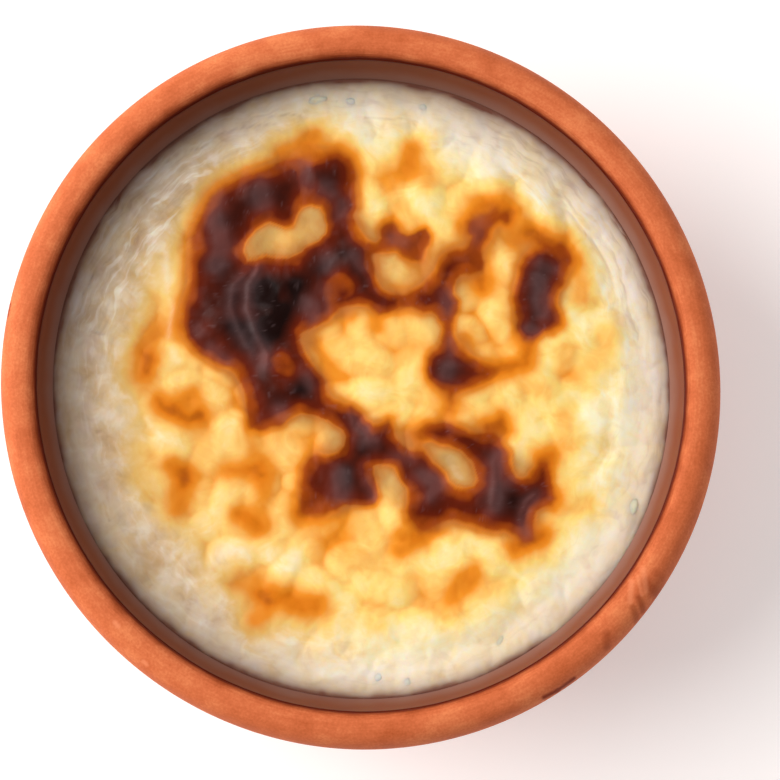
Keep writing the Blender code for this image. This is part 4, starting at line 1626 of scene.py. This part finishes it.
SCORCH_MARKS = ScorchMarks(
    burnt=(HORSESHOE_AND_RING, STEM_AND_BLOB, RIGHT_BAR, RED_LINK),
    charred=strokes(
        (0.22, ((-14.5, 16.0, 3.4), (-13.5, 12.0, 3.2), (-13.8, 8.6, 2.0))),
        (0.12, ((-20.8, 19.0, 1.0), (-21.6, 14.0, 1.6), (-20.0, 8.6, 1.4))),
        (0.14, ((-10.5, 18.4, 1.8), (-5.0, 22.6, 1.4), (-1.0, 21.4, 1.2), (0.6, 18.0, 0.8))),
        (0.14, ((-16.0, 1.0, 1.4), (-13.4, -0.6, 1.8), (-9.6, 0.4, 1.2))),
        (0.08, ((-20.8, 33.0, 1.4), (-13.6, 33.6, 1.6), (-12.8, 35.6, 1.0))),
        (0.06, ((-5.4, 37.4, 1.2), (-3.4, 38.2, 0.8))),
        (0.13, ((-1.4, -8.8, 1.0), (2.0, -9.6, 1.2), (4.4, -7.8, 0.8))),
        (0.12, ((-1.0, -13.0, 1.2), (-0.6, -16.6, 1.2))),
        (0.16, ((24.6, -17.0, 1.6), (25.4, -20.4, 1.8), (28.0, -16.4, 1.0))),
        (0.08, ((20.6, -10.6, 1.0), (20.8, -16.0, 1.2), (18.0, -19.4, 1.0))),
        (0.10, ((28.4, 19.0, 0.9), (28.0, 15.6, 1.0), (28.8, 11.6, 0.9))),
        (0.10, ((12.4, 16.6, 1.0), (14.0, 18.6, 1.0))),
        (0.12, ((13.6, 5.0, 1.2), (16.6, 2.4, 1.2))),
        (-0.06, ((-9.6, 37.4, 1.4), (-8.8, 34.4, 1.0))),
        (-0.10, ((-8.6, -17.6, 1.2), (-8.4, -19.4, 0.8))),
    ),
    toasted=strokes(
        (0.40, ((-9.0, 42.4, 0.4), (-7.2, 43.4, 0.2))),
        (0.44, ((-12.5, 40.2, 0.3), (-9.0, 41.0, 0.3), (-4.0, 40.4, 0.2))),
        (0.56, ((20.0, 27.4, 0.3), (21.0, 26.8, 0.3), (20.2, 24.8, 0.2))),
        (0.54, ((21.6, 28.4, 0.4), (23.6, 29.8, 0.5), (24.8, 29.6, 0.3))),
        (0.44, ((19.0, 28.6, 0.2), (20.0, 31.0, 0.2), (24.4, 32.4, 0.2), (26.4, 30.4, 0.2))),
        (0.42, ((25.0, 28.6, 0.2), (27.0, 25.6, 0.2))),
        (0.50, ((28.8, 27.0, 0.2), (31.0, 26.0, 0.5), (34.2, 24.6, 0.5), (36.0, 21.6, 0.2))),
        (0.54, ((6.4, 14.8, 0.2), (8.4, 15.0, 0.2), (10.2, 15.6, 0.2))),
        (0.34, ((12.8, 22.0, 1.0), (10.2, 20.6, 0.6), (8.8, 22.0, 0.4))),
        (0.42, ((2.8, 12.4, 0.1), (2.9, 10.8, 0.1))),
        (0.40, ((-3.0, 13.0, 0.2), (-1.2, 12.6, 0.2))),
        (0.48, ((20.8, 18.8, 0.2), (20.8, 17.4, 0.1))),
        (0.30, ((22.0, 16.8, 0.6), (25.0, 15.4, 0.6), (25.2, 13.2, 0.6))),
        (0.44, ((17.6, 8.6, 0.1), (18.0, 6.4, 0.2))),
        (0.48, ((22.6, 3.4, 0.2), (25.4, 3.6, 0.2), (28.0, 4.6, 0.1), (28.4, 7.0, 0.2))),
        (0.42, ((15.6, -1.6, 0.2), (15.6, -3.0, 0.1))),
        (0.46, ((9.6, -7.4, 0.2), (9.8, -10.2, 0.2))),
        (0.48, ((21.6, -6.4, 0.2), (23.4, -6.0, 0.3))),
        (0.46, ((30.6, -11.6, 0.2), (32.0, -11.0, 0.2))),
        (0.34, ((33.0, -19.0, 0.5), (33.4, -17.0, 0.3))),
        (0.46, ((26.2, -26.6, 0.3), (28.4, -25.4, 0.2), (30.6, -24.2, 0.1))),
        (0.44, ((7.0, -24.6, 0.3), (9.6, -24.8, 0.3), (6.6, -27.0, 0.3))),
        (0.46, ((-10.4, -20.8, 0.2), (-7.0, -21.0, 0.2), (-4.0, -20.8, 0.1))),
        (0.34, ((-8.4, -10.4, 0.4), (-5.8, -10.6, 0.3))),
        (0.34, ((-18.6, -8.6, 0.5), (-18.4, -10.2, 0.2))),
        (0.49, ((-36.6, 3.0, 0.3), (-36.0, 4.8, 0.3))),
        (0.34, ((-36.4, 6.0, 0.6), (-35.0, 8.8, 0.6), (-33.4, 11.0, 0.6))),
        (0.30, ((-38.0, 1.4, 0.8), (-35.4, -1.0, 0.6))),
        (0.50, ((-34.0, -2.6, 0.2), (-31.6, -4.0, 0.2), (-28.8, -5.2, 0.3), (-27.6, -4.4, 0.2))),
        (0.42, ((-31.4, -2.8, 0.2), (-28.6, -1.4, 0.2))),
        (0.43, ((-31.8, -13.2, 0.3), (-30.0, -15.2, 0.3), (-30.4, -17.4, 0.3), (-31.0, -20.0, 0.2))),
        (0.44, ((-29.8, -15.6, 0.2), (-29.9, -14.8, 0.2))),
        (0.25, ((-35.4, -12.2, 0.6), (-32.0, -12.8, 0.6))),
        (0.44, ((-17.2, -13.4, 0.3), (-16.8, -14.4, 0.2))),
        (0.42, ((-22.0, -14.2, 0.1), (-18.4, -13.8, 0.3), (-16.6, -15.6, 0.2), (-16.4, -17.6, 0.1))),
        (0.46, ((-20.4, -21.4, 0.2), (-18.4, -22.2, 0.3), (-17.2, -23.0, 0.3))),
        (0.34, ((-17.4, -19.6, 0.5), (-18.0, -21.2, 0.7))),
        (0.34, ((-20.4, -31.8, 0.8), (-17.8, -32.8, 0.8))),
        (0.46, (
            (-16.6, -34.6, 0.7), (-14.6, -35.0, 0.9), (-12.2, -35.4, 0.7), (-9.6, -36.2, 0.7),
            (-7.4, -36.2, 0.6),
        )),
        (0.42, ((-15.8, -36.0, 0.3), (-16.2, -37.6, 0.2), (-18.0, -38.6, 0.1))),
        (0.40, ((18.6, -31.0, 0.9), (17.2, -32.4, 1.2), (15.4, -34.6, 0.4))),
        (0.30, ((16.2, -35.8, 0.9), (14.2, -37.2, 0.6))),
        (0.28, ((15.4, -32.0, 0.6), (9.2, -32.6, 1.0), (22.6, -33.0, 0.8))),
        (0.42, ((8.8, 38.6, 0.4), (9.2, 40.8, 0.3))),
        (0.33, ((4.8, 35.8, 1.0), (6.8, 36.6, 0.6), (11.2, 37.4, 0.6), (12.0, 35.4, 0.5))),
        (0.33, ((37.8, 18.2, 0.6), (37.8, 15.6, 0.5))),
        (0.31, ((35.2, 6.6, 0.9), (34.8, 3.6, 0.8), (37.0, 2.6, 0.4))),
        (0.29, ((42.2, 10.0, 0.5), (41.4, 6.4, 0.6), (39.4, 4.2, 0.5))),
        (0.30, ((34.4, -4.8, 0.7), (35.2, -8.8, 0.8))),
        (0.29, ((31.8, 0.0, 0.6), (28.4, 0.4, 0.5))),
        (0.28, ((38.2, -18.8, 0.6), (36.0, -20.0, 0.5))),
        (0.29, ((-1.6, -28.4, 1.4), (1.2, -28.8, 1.0))),
        (0.27, ((-6.4, -25.0, 1.2), (-2.8, -25.4, 0.8))),
        (0.24, ((4.4, -28.0, 0.8), (3.4, -33.0, 1.0), (2.4, -38.6, 1.0))),
        (0.57, ((-3.2, 17.0, 0.4), (-2.8, 16.8, 0.3))),
        (0.60, ((-13.5, 4.0, 0.4), (-13.3, 3.8, 0.3))),
        (0.27, ((4.4, -14.0, 1.4), (4.8, -18.0, 1.6))),
        (0.25, ((-2.0, 7.0, 2.0), (4.0, 5.0, 2.4), (8.0, 8.0, 2.0))),
        (0.27, ((-16.8, 24.4, 1.6), (-12.0, 24.8, 1.6), (-8.2, 28.0, 1.6))),
    ),
    # Painted sheen: where highlights lie on the burnt skin
    lifted=strokes(
        (0.8, ((-24.4, 33.4, 0.6), (-24.6, 29.0, 0.8), (-23.2, 24.2, 1.1), (-24.6, 20.4, 0.6))),
        (0.7, ((-16.6, 34.2, 0.9), (-16.6, 31.6, 0.9))),
        (0.7, ((-9.8, 38.4, 0.5), (-9.2, 35.8, 0.6))),
        (0.7, ((-6.0, 34.2, 0.7), (-5.0, 33.2, 0.5))),
        (0.6, ((-3.4, 31.6, 0.4), (-3.0, 29.8, 0.3))),
        (0.8, ((-5.4, 21.8, 0.8), (-5.8, 20.8, 0.5))),
        (0.7, ((-0.8, 22.6, 0.4), (0.4, 20.8, 0.3))),
        (0.8, ((-8.4, 14.2, 0.9), (-7.6, 12.6, 0.6))),
        (0.6, ((-5.8, 16.6, 0.4), (-5.6, 13.6, 0.3))),
        (
            0.8,
            (
                (-17.6, 20.0, 0.2), (-19.2, 17.4, 0.3), (-19.2, 13.0, 0.3),
                (-18.0, 9.2, 0.3), (-16.4, 6.2, 0.8), (-16.6, 4.2, 0.7),
            ),
        ),
        (
            0.7,
            (
                (-20.0, 19.0, 0.1), (-21.8, 16.4, 0.2), (-21.8, 12.4, 0.2),
                (-20.2, 8.6, 0.2), (-18.4, 5.6, 0.2),
            ),
        ),
        (0.6, ((-27.6, 10.2, 0.4), (-27.2, 9.8, 0.2))),
        (0.6, ((-25.4, 6.6, 0.6), (-22.8, 4.6, 0.3))),
        (0.7, ((-13.4, -3.8, 0.5), (-12.6, -5.0, 0.3))),
        (0.6, ((-9.0, 2.2, 0.3), (-8.4, 0.6, 0.3))),
        (0.7, ((-1.4, -4.6, 0.2), (-0.6, -6.6, 0.2))),
        (0.8, ((0.4, -7.2, 0.4), (1.6, -8.4, 0.6))),
        (0.5, ((6.0, -11.2, 0.2), (8.6, -12.0, 0.3))),
        (0.9, ((-3.4, -15.0, 1.0), (-3.6, -17.8, 0.8))),
        (0.6, ((1.4, -15.8, 0.3), (1.9, -18.2, 0.2))),
        (0.9, ((10.2, -14.4, 0.4), (13.0, -16.0, 0.8), (11.6, -18.0, 0.4))),
        (0.8, ((23.0, -11.4, 0.6), (22.6, -15.0, 0.8), (22.6, -19.4, 0.7))),
        (0.6, ((25.6, -14.4, 0.3), (24.2, -16.2, 0.5))),
        (0.8, ((29.6, -17.8, 0.2), (28.2, -19.0, 0.3), (27.4, -21.6, 0.2), (27.8, -23.8, 0.4))),
        (0.9, ((30.6, 18.8, 0.8), (30.8, 15.4, 0.9), (31.0, 13.0, 0.5))),
        (0.6, ((30.8, 21.4, 0.5), (33.0, 20.6, 0.3))),
        (0.7, ((28.8, 10.4, 0.5), (29.6, 10.0, 0.3))),
        (0.7, ((15.2, 16.0, 0.5), (14.8, 13.4, 0.4))),
        (0.8, ((15.2, 4.0, 0.8), (14.8, 2.6, 0.6))),
        (0.5, ((15.4, 8.4, 0.3), (15.6, 6.6, 0.3))),
        (0.7, ((6.2, 26.0, 0.6), (7.6, 25.4, 0.6))),
        (0.5, ((19.6, 26.0, 0.4), (20.2, 29.2, 0.5))),
    ),
)


# Grains that show through the skin: x, y, direction, half length, half width and rise
RICE = RicePacking(
    shown=(
        (-16.2, 25.0, 0.55, 3.8, 2.4, 1.0),
        (-11.8, 25.6, 0.9, 3.2, 2.2, 0.9),
        (-8.2, 28.6, 1.2, 3.6, 2.6, 1.0),
        (15.4, -13.0, -0.95, 4.2, 2.5, 1.0),
        (5.0, -16.2, 1.35, 3.8, 2.1, 0.95),
    )
)

FOLDS = (
    Fold(
        0.38,
        (
            (-18.6, 20.2, 0.3), (-21.4, 17.6, 0.35), (-21.8, 14.0, 0.3),
            (-20.6, 10.4, 0.3), (-18.2, 5.4, 0.2),
        ),
    ),
    Fold(
        0.45,
        (
            (-17.2, 20.4, 0.3), (-18.8, 17.4, 0.4), (-19.0, 13.6, 0.45),
            (-17.6, 9.4, 0.4), (-15.6, 5.8, 0.4), (-15.8, 4.0, 0.3),
        ),
    ),
    Fold(0.35, ((27.2, -23.4, 0.2), (27.0, -21.0, 0.3), (28.2, -18.6, 0.35), (29.4, -17.6, 0.3))),
    Fold(0.30, ((22.6, -12.0, 0.3), (22.8, -15.6, 0.4), (22.2, -19.4, 0.3))),
    Fold(0.25, ((-1.8, -3.6, 0.2), (-1.0, -6.4, 0.25), (1.4, -8.4, 0.2))),
)

# Creases along the edge of the skin, where the milk runs thin and the wall shows, darkened with painted
# shade
EDGE_CREASES = tuple(
    Fold(-0.14, path, wall_and_crease_shade=wall_and_crease_shade, fade=0.36)
    for wall_and_crease_shade, path in (
        (0.36, ((-20.0, 45.0, 0.15), (-16.0, 46.5, 0.2), (-12.0, 47.0, 0.2), (-10.0, 46.9, 0.1))),
        (0.32, ((-22.0, 44.3, 0.15), (-18.0, 45.0, 0.2), (-14.0, 45.3, 0.1))),
        (0.30, ((1.0, 46.5, 0.1), (5.0, 46.2, 0.2), (7.5, 46.3, 0.1))),
        (0.34, ((-20.0, 44.8, 0.15), (-24.0, 43.5, 0.25), (-27.0, 41.2, 0.3), (-30.0, 40.5, 0.2))),
        (0.34, ((-30.0, 40.5, 0.2), (-33.0, 38.3, 0.25), (-36.0, 35.5, 0.2), (-38.0, 33.5, 0.15))),
        (0.40, ((-36.9, 33.6, 0.1), (-36.1, 35.2, 0.2), (-34.8, 36.4, 0.15), (-34.2, 36.9, 0.1))),
        (0.70, ((-33.6, 38.2, 0.15), (-32.5, 39.1, 0.25))),
        (0.45, ((-48.7, 10.5, 0.15), (-48.4, 12.5, 0.2), (-47.6, 15.2, 0.2), (-46.5, 17.4, 0.2))),
        (0.45, ((-46.5, 17.4, 0.2), (-45.4, 19.6, 0.2), (-44.6, 21.4, 0.1))),
        (0.30, ((-43.6, 27.0, 0.1), (-41.5, 29.6, 0.15), (-40.2, 31.2, 0.1))),
        (0.34, ((-3.9, 49.2, 0.2), (-3.7, 49.3, 0.2))),
        (0.34, ((-1.6, 49.5, 0.2), (-1.4, 49.5, 0.2))),
        (0.26, ((34.0, 34.0, 0.2), (36.0, 30.5, 0.25), (38.0, 27.5, 0.3), (40.0, 25.5, 0.3))),
        (0.26, ((40.0, 25.5, 0.3), (41.5, 23.0, 0.25), (42.7, 20.5, 0.2), (43.4, 17.5, 0.15))),
        (0.28, ((45.2, -24.8, 0.15), (46.6, -21.6, 0.3), (47.4, -20.0, 0.2))),
        (0.55, ((48.4, -15.2, 0.15), (48.6, -15.3, 0.15))),
        (0.40, ((35.6, -37.6, 0.15), (36.4, -36.2, 0.2), (38.2, -34.8, 0.15))),
        (0.40, ((-42.7, -22.3, 0.2), (-42.5, -22.4, 0.2))),
        (0.26, ((-44.7, -7.4, 0.3), (-44.3, -7.4, 0.3))),
        (0.22, ((-46.4, 9.8, 0.2), (-45.0, 9.2, 0.3), (-43.6, 9.0, 0.2))),
    )
)

# Ridges and blobs of set milk along the edge of the skin, and one painted glint
MILKY_RIDGES = tuple(
    Fold(0.06, path, milk=milk)
    for milk, path in (
        (0.45, ((-9.5, 46.9, 0.2), (-7.5, 46.8, 0.25), (-5.5, 46.9, 0.15))),
        (0.42, ((-11.4, 49.5, 0.2), (-10.6, 49.7, 0.2))),
        (0.36, ((-15.2, 48.5, 0.2), (-14.4, 48.7, 0.2))),
        (0.33, ((10.0, 48.7, 0.4), (12.0, 48.5, 0.4))),
        (0.30, ((10.6, 47.4, 0.3), (11.0, 47.2, 0.3))),
        (0.30, ((12.3, 46.1, 0.3), (12.7, 45.9, 0.3))),
        (0.33, ((20.3, 46.3, 0.3), (20.7, 46.1, 0.3))),
        (0.30, ((22.8, 44.3, 0.3), (23.2, 44.1, 0.3))),
        (0.27, ((12.6, 41.7, 0.3), (13.0, 41.5, 0.3))),
        (0.18, ((5.0, 43.6, 0.9), (6.0, 43.6, 0.9))),
        (0.18, ((15.8, 43.7, 0.9), (16.8, 43.5, 0.9))),
        (0.36, ((-34.6, 36.5, 0.2), (-33.2, 37.4, 0.25), (-31.8, 38.8, 0.25), (-30.4, 40.1, 0.15))),
        (0.33, ((-39.8, 28.4, 0.2), (-38.4, 30.6, 0.25), (-36.8, 32.8, 0.3), (-34.2, 36.0, 0.2))),
        (0.27, ((-42.4, 23.6, 0.3), (-41.2, 25.8, 0.3), (-40.0, 27.4, 0.25), (-38.9, 29.0, 0.15))),
        (0.30, ((-43.0, 28.0, 0.2), (-41.8, 29.2, 0.25), (-41.0, 30.2, 0.15))),
        (0.27, ((-49.6, 9.4, 0.2), (-49.0, 12.0, 0.25), (-48.2, 14.8, 0.25), (-46.4, 18.8, 0.1))),
        (0.30, ((-46.5, 15.4, 0.15), (-45.3, 17.4, 0.2), (-44.5, 18.8, 0.1))),
        (0.24, ((-33.0, 23.0, 0.4), (-32.9, 20.0, 0.5), (-32.7, 16.4, 0.4))),
        (0.24, ((-32.4, 15.0, 0.2), (-31.9, 13.4, 0.2), (-32.4, 10.6, 0.2), (-32.6, 8.6, 0.15))),
        (0.33, ((28.0, 41.0, 0.3), (33.0, 38.5, 0.4), (38.0, 34.0, 0.4), (41.5, 29.0, 0.4))),
        (0.36, ((45.9, 25.6, 0.35), (45.7, 23.4, 0.3), (45.2, 20.4, 0.25), (44.9, 17.8, 0.2))),
        (0.30, ((44.0, 18.6, 0.5), (45.2, 14.6, 0.6), (46.0, 12.0, 0.6), (47.2, 9.0, 0.5))),
        (0.45, ((49.6, 10.0, 0.4), (50.1, 5.0, 0.7), (50.3, 0.0, 0.8), (50.2, -4.4, 0.6))),
        (0.21, ((41.4, 17.6, 0.5), (41.8, 15.8, 0.4))),
        (0.30, ((40.4, 29.6, 0.4), (42.2, 27.2, 0.5), (43.0, 25.2, 0.4))),
        (0.30, ((30.0, 41.0, 0.15), (33.0, 39.4, 0.2), (36.0, 37.5, 0.15))),
        # A painted glint: a white highlight at the edge, laid on as milk
        (0.51, ((49.6, -13.8, 0.25), (49.4, -15.8, 0.3), (49.7, -17.2, 0.2))),
        (0.27, ((-11.7, -42.4, 0.4), (-11.3, -42.6, 0.4))),
        (0.27, ((-6.4, -47.8, 0.8), (-3.6, -47.8, 0.8))),
        (0.24, ((-7.3, -48.8, 0.3), (-6.7, -48.8, 0.3))),
        (0.24, ((-0.4, -47.0, 0.6), (0.4, -47.0, 0.6))),
        (0.24, ((7.0, -46.8, 0.25), (10.5, -46.7, 0.3), (14.5, -46.8, 0.25))),
        (0.30, ((13.2, -49.0, 0.35), (15.2, -48.5, 0.35))),
        (0.30, ((17.8, -48.5, 0.3), (20.2, -47.5, 0.3))),
        (0.21, ((-36.2, -5.2, 0.5), (-35.6, -6.4, 0.5))),
        (0.24, ((-37.2, -8.2, 0.3), (-36.8, -8.8, 0.3))),
    )
)

# Grains at the edge that stand clear of the milk: x, y, direction, length and width
EDGE_GRAINS = (
    (-7.2, 49.6, 0.15, 6.0, 2.9),
    (-1.8, 49.3, 0.0, 4.5, 2.5),
    (3.0, -48.0, 0.3, 2.6, 2.1),
    (7.7, -48.9, 1.57, 3.6, 2.4),
    (23.2, -42.2, 0.85, 6.0, 3.2),
    (11.0, 48.4, -0.2, 3.2, 2.0),
    (46.0, -19.6, 1.25, 4.4, 2.2),
)

# Where the rim has been rubbed and nicked
RIM_SCUFFS = (
    Scuff(-0.55, (46.8, -33.2), (48.8, -35.0), 1.1),
    Scuff(-0.30, (48.2, -31.6), (49.6, -33.4), 0.9),
    Scuff(-0.55, (45.3, -35.4), (46.3, -37.6), 0.6),
    Scuff(-0.45, (44.4, -37.0), (45.4, -39.6), 0.6),
    Scuff(-0.40, (40.0, -41.2), (40.2, -43.4), 0.7),
    Scuff(0.40, (44.2, -32.8), (43.9, -36.0), 0.45),
    Scuff(0.36, (46.1, -30.8), (46.5, -34.4), 0.50),
    Scuff(0.30, (45.2, -32.0), (45.8, -35.0), 0.30),
    Scuff(-0.9, (-58.2, 12.8), (-58.6, 11.0), 0.45),
    Scuff(-1.0, (30.0, -51.6), (32.2, -50.6), 0.45),
    Scuff(-1.0, (32.2, -50.6), (34.9, -48.6), 0.40),
    Scuff(0.5, (-39.8, -39.4), (-39.3, -40.0), 0.40),
    Scuff(0.5, (-35.2, -45.7), (-34.7, -46.2), 0.35),
)

# Burnt blisters of lifted skin: centre x, centre y, radius and height, in millimetres
BLISTERS = (
    (-24, 27, 4.5, 0.8),
    (-17, 34, 4.5, 0.8),
    (-6, 36, 4.5, 0.9),
    (-24, 14, 6.0, 0.9),
    (-13, 15, 6.5, 1.1),
    (-2, 22, 3.5, 0.8),
    (-14, 0, 5.0, 0.9),
    (2, -8, 3.0, 0.7),
    (-4, -16, 5.0, 0.9),
    (14, 4, 3.5, 0.8),
    (14, 18, 4.0, 0.6),
    (30, 17, 4.5, 0.9),
    (16, -8, 4.0, 0.7),
    (11, -18, 4.0, 0.8),
    (24, -17, 5.0, 1.0),
)

# Pale dimples left between the blisters: centre x, centre y, radius and depth, in millimetres
DIMPLES = (
    (-15, 25, 3.0, 0.7),
    (-9, 28, 3.0, 0.7),
    (15, -13, 3.0, 0.7),
    (4.5, -15, 2.2, 0.6),
)


# ---- the studio


@dataclass(frozen=True)
class Studio:
    """White sweep, one soft key light from the upper left and a camera that looks down."""

    floor_size: float = 2.0
    floor_drop: float = 0.1 * MM
    camera_distance: float = 0.30
    camera_tilt: float = math.radians(4.0)
    sensor_width: float = 36.0
    aim: Pair = (4.87 * MM, -1.55 * MM)
    frame_width: float = 127.8 * MM
    key_azimuth: float = math.radians(167.0)
    key_elevation: float = math.radians(38.0)
    key_distance: float = 0.9
    key_size: float = 0.85
    key_power: float = 10.0
    key_colour: tuple[float, float, float] = (1.0, 0.985, 0.96)
    world_strength: float = 0.52
    world_lean: float = 0.45
    world_colour: tuple[float, float, float, float] = (1.0, 0.985, 0.98, 1.0)

    def build(self, top: float) -> None:
        """Sets up floor, lights and camera.

        Args:
            top: Height of the object's top, which the camera is focused on.
        """
        self.floor()
        self.key_light(top)
        self.world()
        self.camera(top)
        bpy.context.scene.view_settings.view_transform = "Standard"

    def floor(self) -> None:
        """Lays the sweep just under the bowl."""
        place = (0.0, 0.0, -self.floor_drop)
        bpy.ops.mesh.primitive_grid_add(
            x_subdivisions=4, y_subdivisions=4, size=self.floor_size, location=place
        )
        floor = bpy.context.object
        floor.name = "floor"
        floor.data.materials.append(PaleFloor().material())
        floor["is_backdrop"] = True

    def key_light(self, top: float) -> None:
        """Hangs the soft key light."""
        lamp = bpy.data.lights.new("key", "AREA")
        lamp.shape = "DISK"
        lamp.size = self.key_size
        lamp.energy = self.key_power
        lamp.color = self.key_colour
        level, upward = math.cos(self.key_elevation), math.sin(self.key_elevation)
        across, along = math.cos(self.key_azimuth) * level, math.sin(self.key_azimuth) * level
        away = Vector((across, along, upward))
        holder = new_object("key", lamp)
        holder.location = away * self.key_distance + Vector((0.0, 0.0, top))
        holder.rotation_euler = (-away).to_track_quat("-Z", "Y").to_euler()

    def world(self) -> None:
        """Fills the shadows with soft light, a little brighter from behind the bowl."""
        world = bpy.data.worlds.new("studio")
        world.use_nodes = True
        tree = world.node_tree
        background = tree.nodes["Background"]
        direction = add_node(tree, "ShaderNodeTexCoord").outputs["Generated"]
        backward = add_node(tree, "ShaderNodeSeparateXYZ", (direction,)).outputs[1]
        ends = [self.world_strength * (1.0 + way * self.world_lean) for way in (-1.0, 1.0)]
        strength = add_node(tree, "ShaderNodeMapRange", (backward, -1.0, 1.0, *ends)).outputs[0]
        background.inputs["Color"].default_value = self.world_colour
        tree.links.new(strength, background.inputs["Strength"])
        bpy.context.scene.world = world

    def camera(self, top: float) -> None:
        """Hangs the camera over the bowl, tipped a little towards the eater."""
        lens = bpy.data.cameras.new("camera")
        lens.sensor_width = self.sensor_width
        lens.lens = self.sensor_width * self.camera_distance / self.frame_width
        holder = new_object("camera", lens)
        back = Vector((0.0, -math.sin(self.camera_tilt), math.cos(self.camera_tilt)))
        holder.location = Vector((*self.aim, top)) + back * self.camera_distance
        holder.rotation_euler = (-back).to_track_quat("-Z", "Y").to_euler()
        bpy.context.scene.camera = holder


def main() -> None:
    """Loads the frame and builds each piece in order."""
    logging.basicConfig(level=logging.INFO, format="%(message)s")
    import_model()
    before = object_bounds()
    section = BowlSection()
    Bowl(section, scuffs=RIM_SCUFFS).build()
    skin = BakedMilkSkin().material()
    folds = FOLDS + EDGE_CREASES + MILKY_RIDGES
    pudding = Pudding(section, SCORCH_MARKS, RICE, folds, blisters=BLISTERS, dimples=DIMPLES)
    pudding.build(skin)
    RiceGrains(pudding, EDGE_GRAINS).build(skin)
    Studio().build(top=before[1].z)


if __name__ == "__main__":
    main()
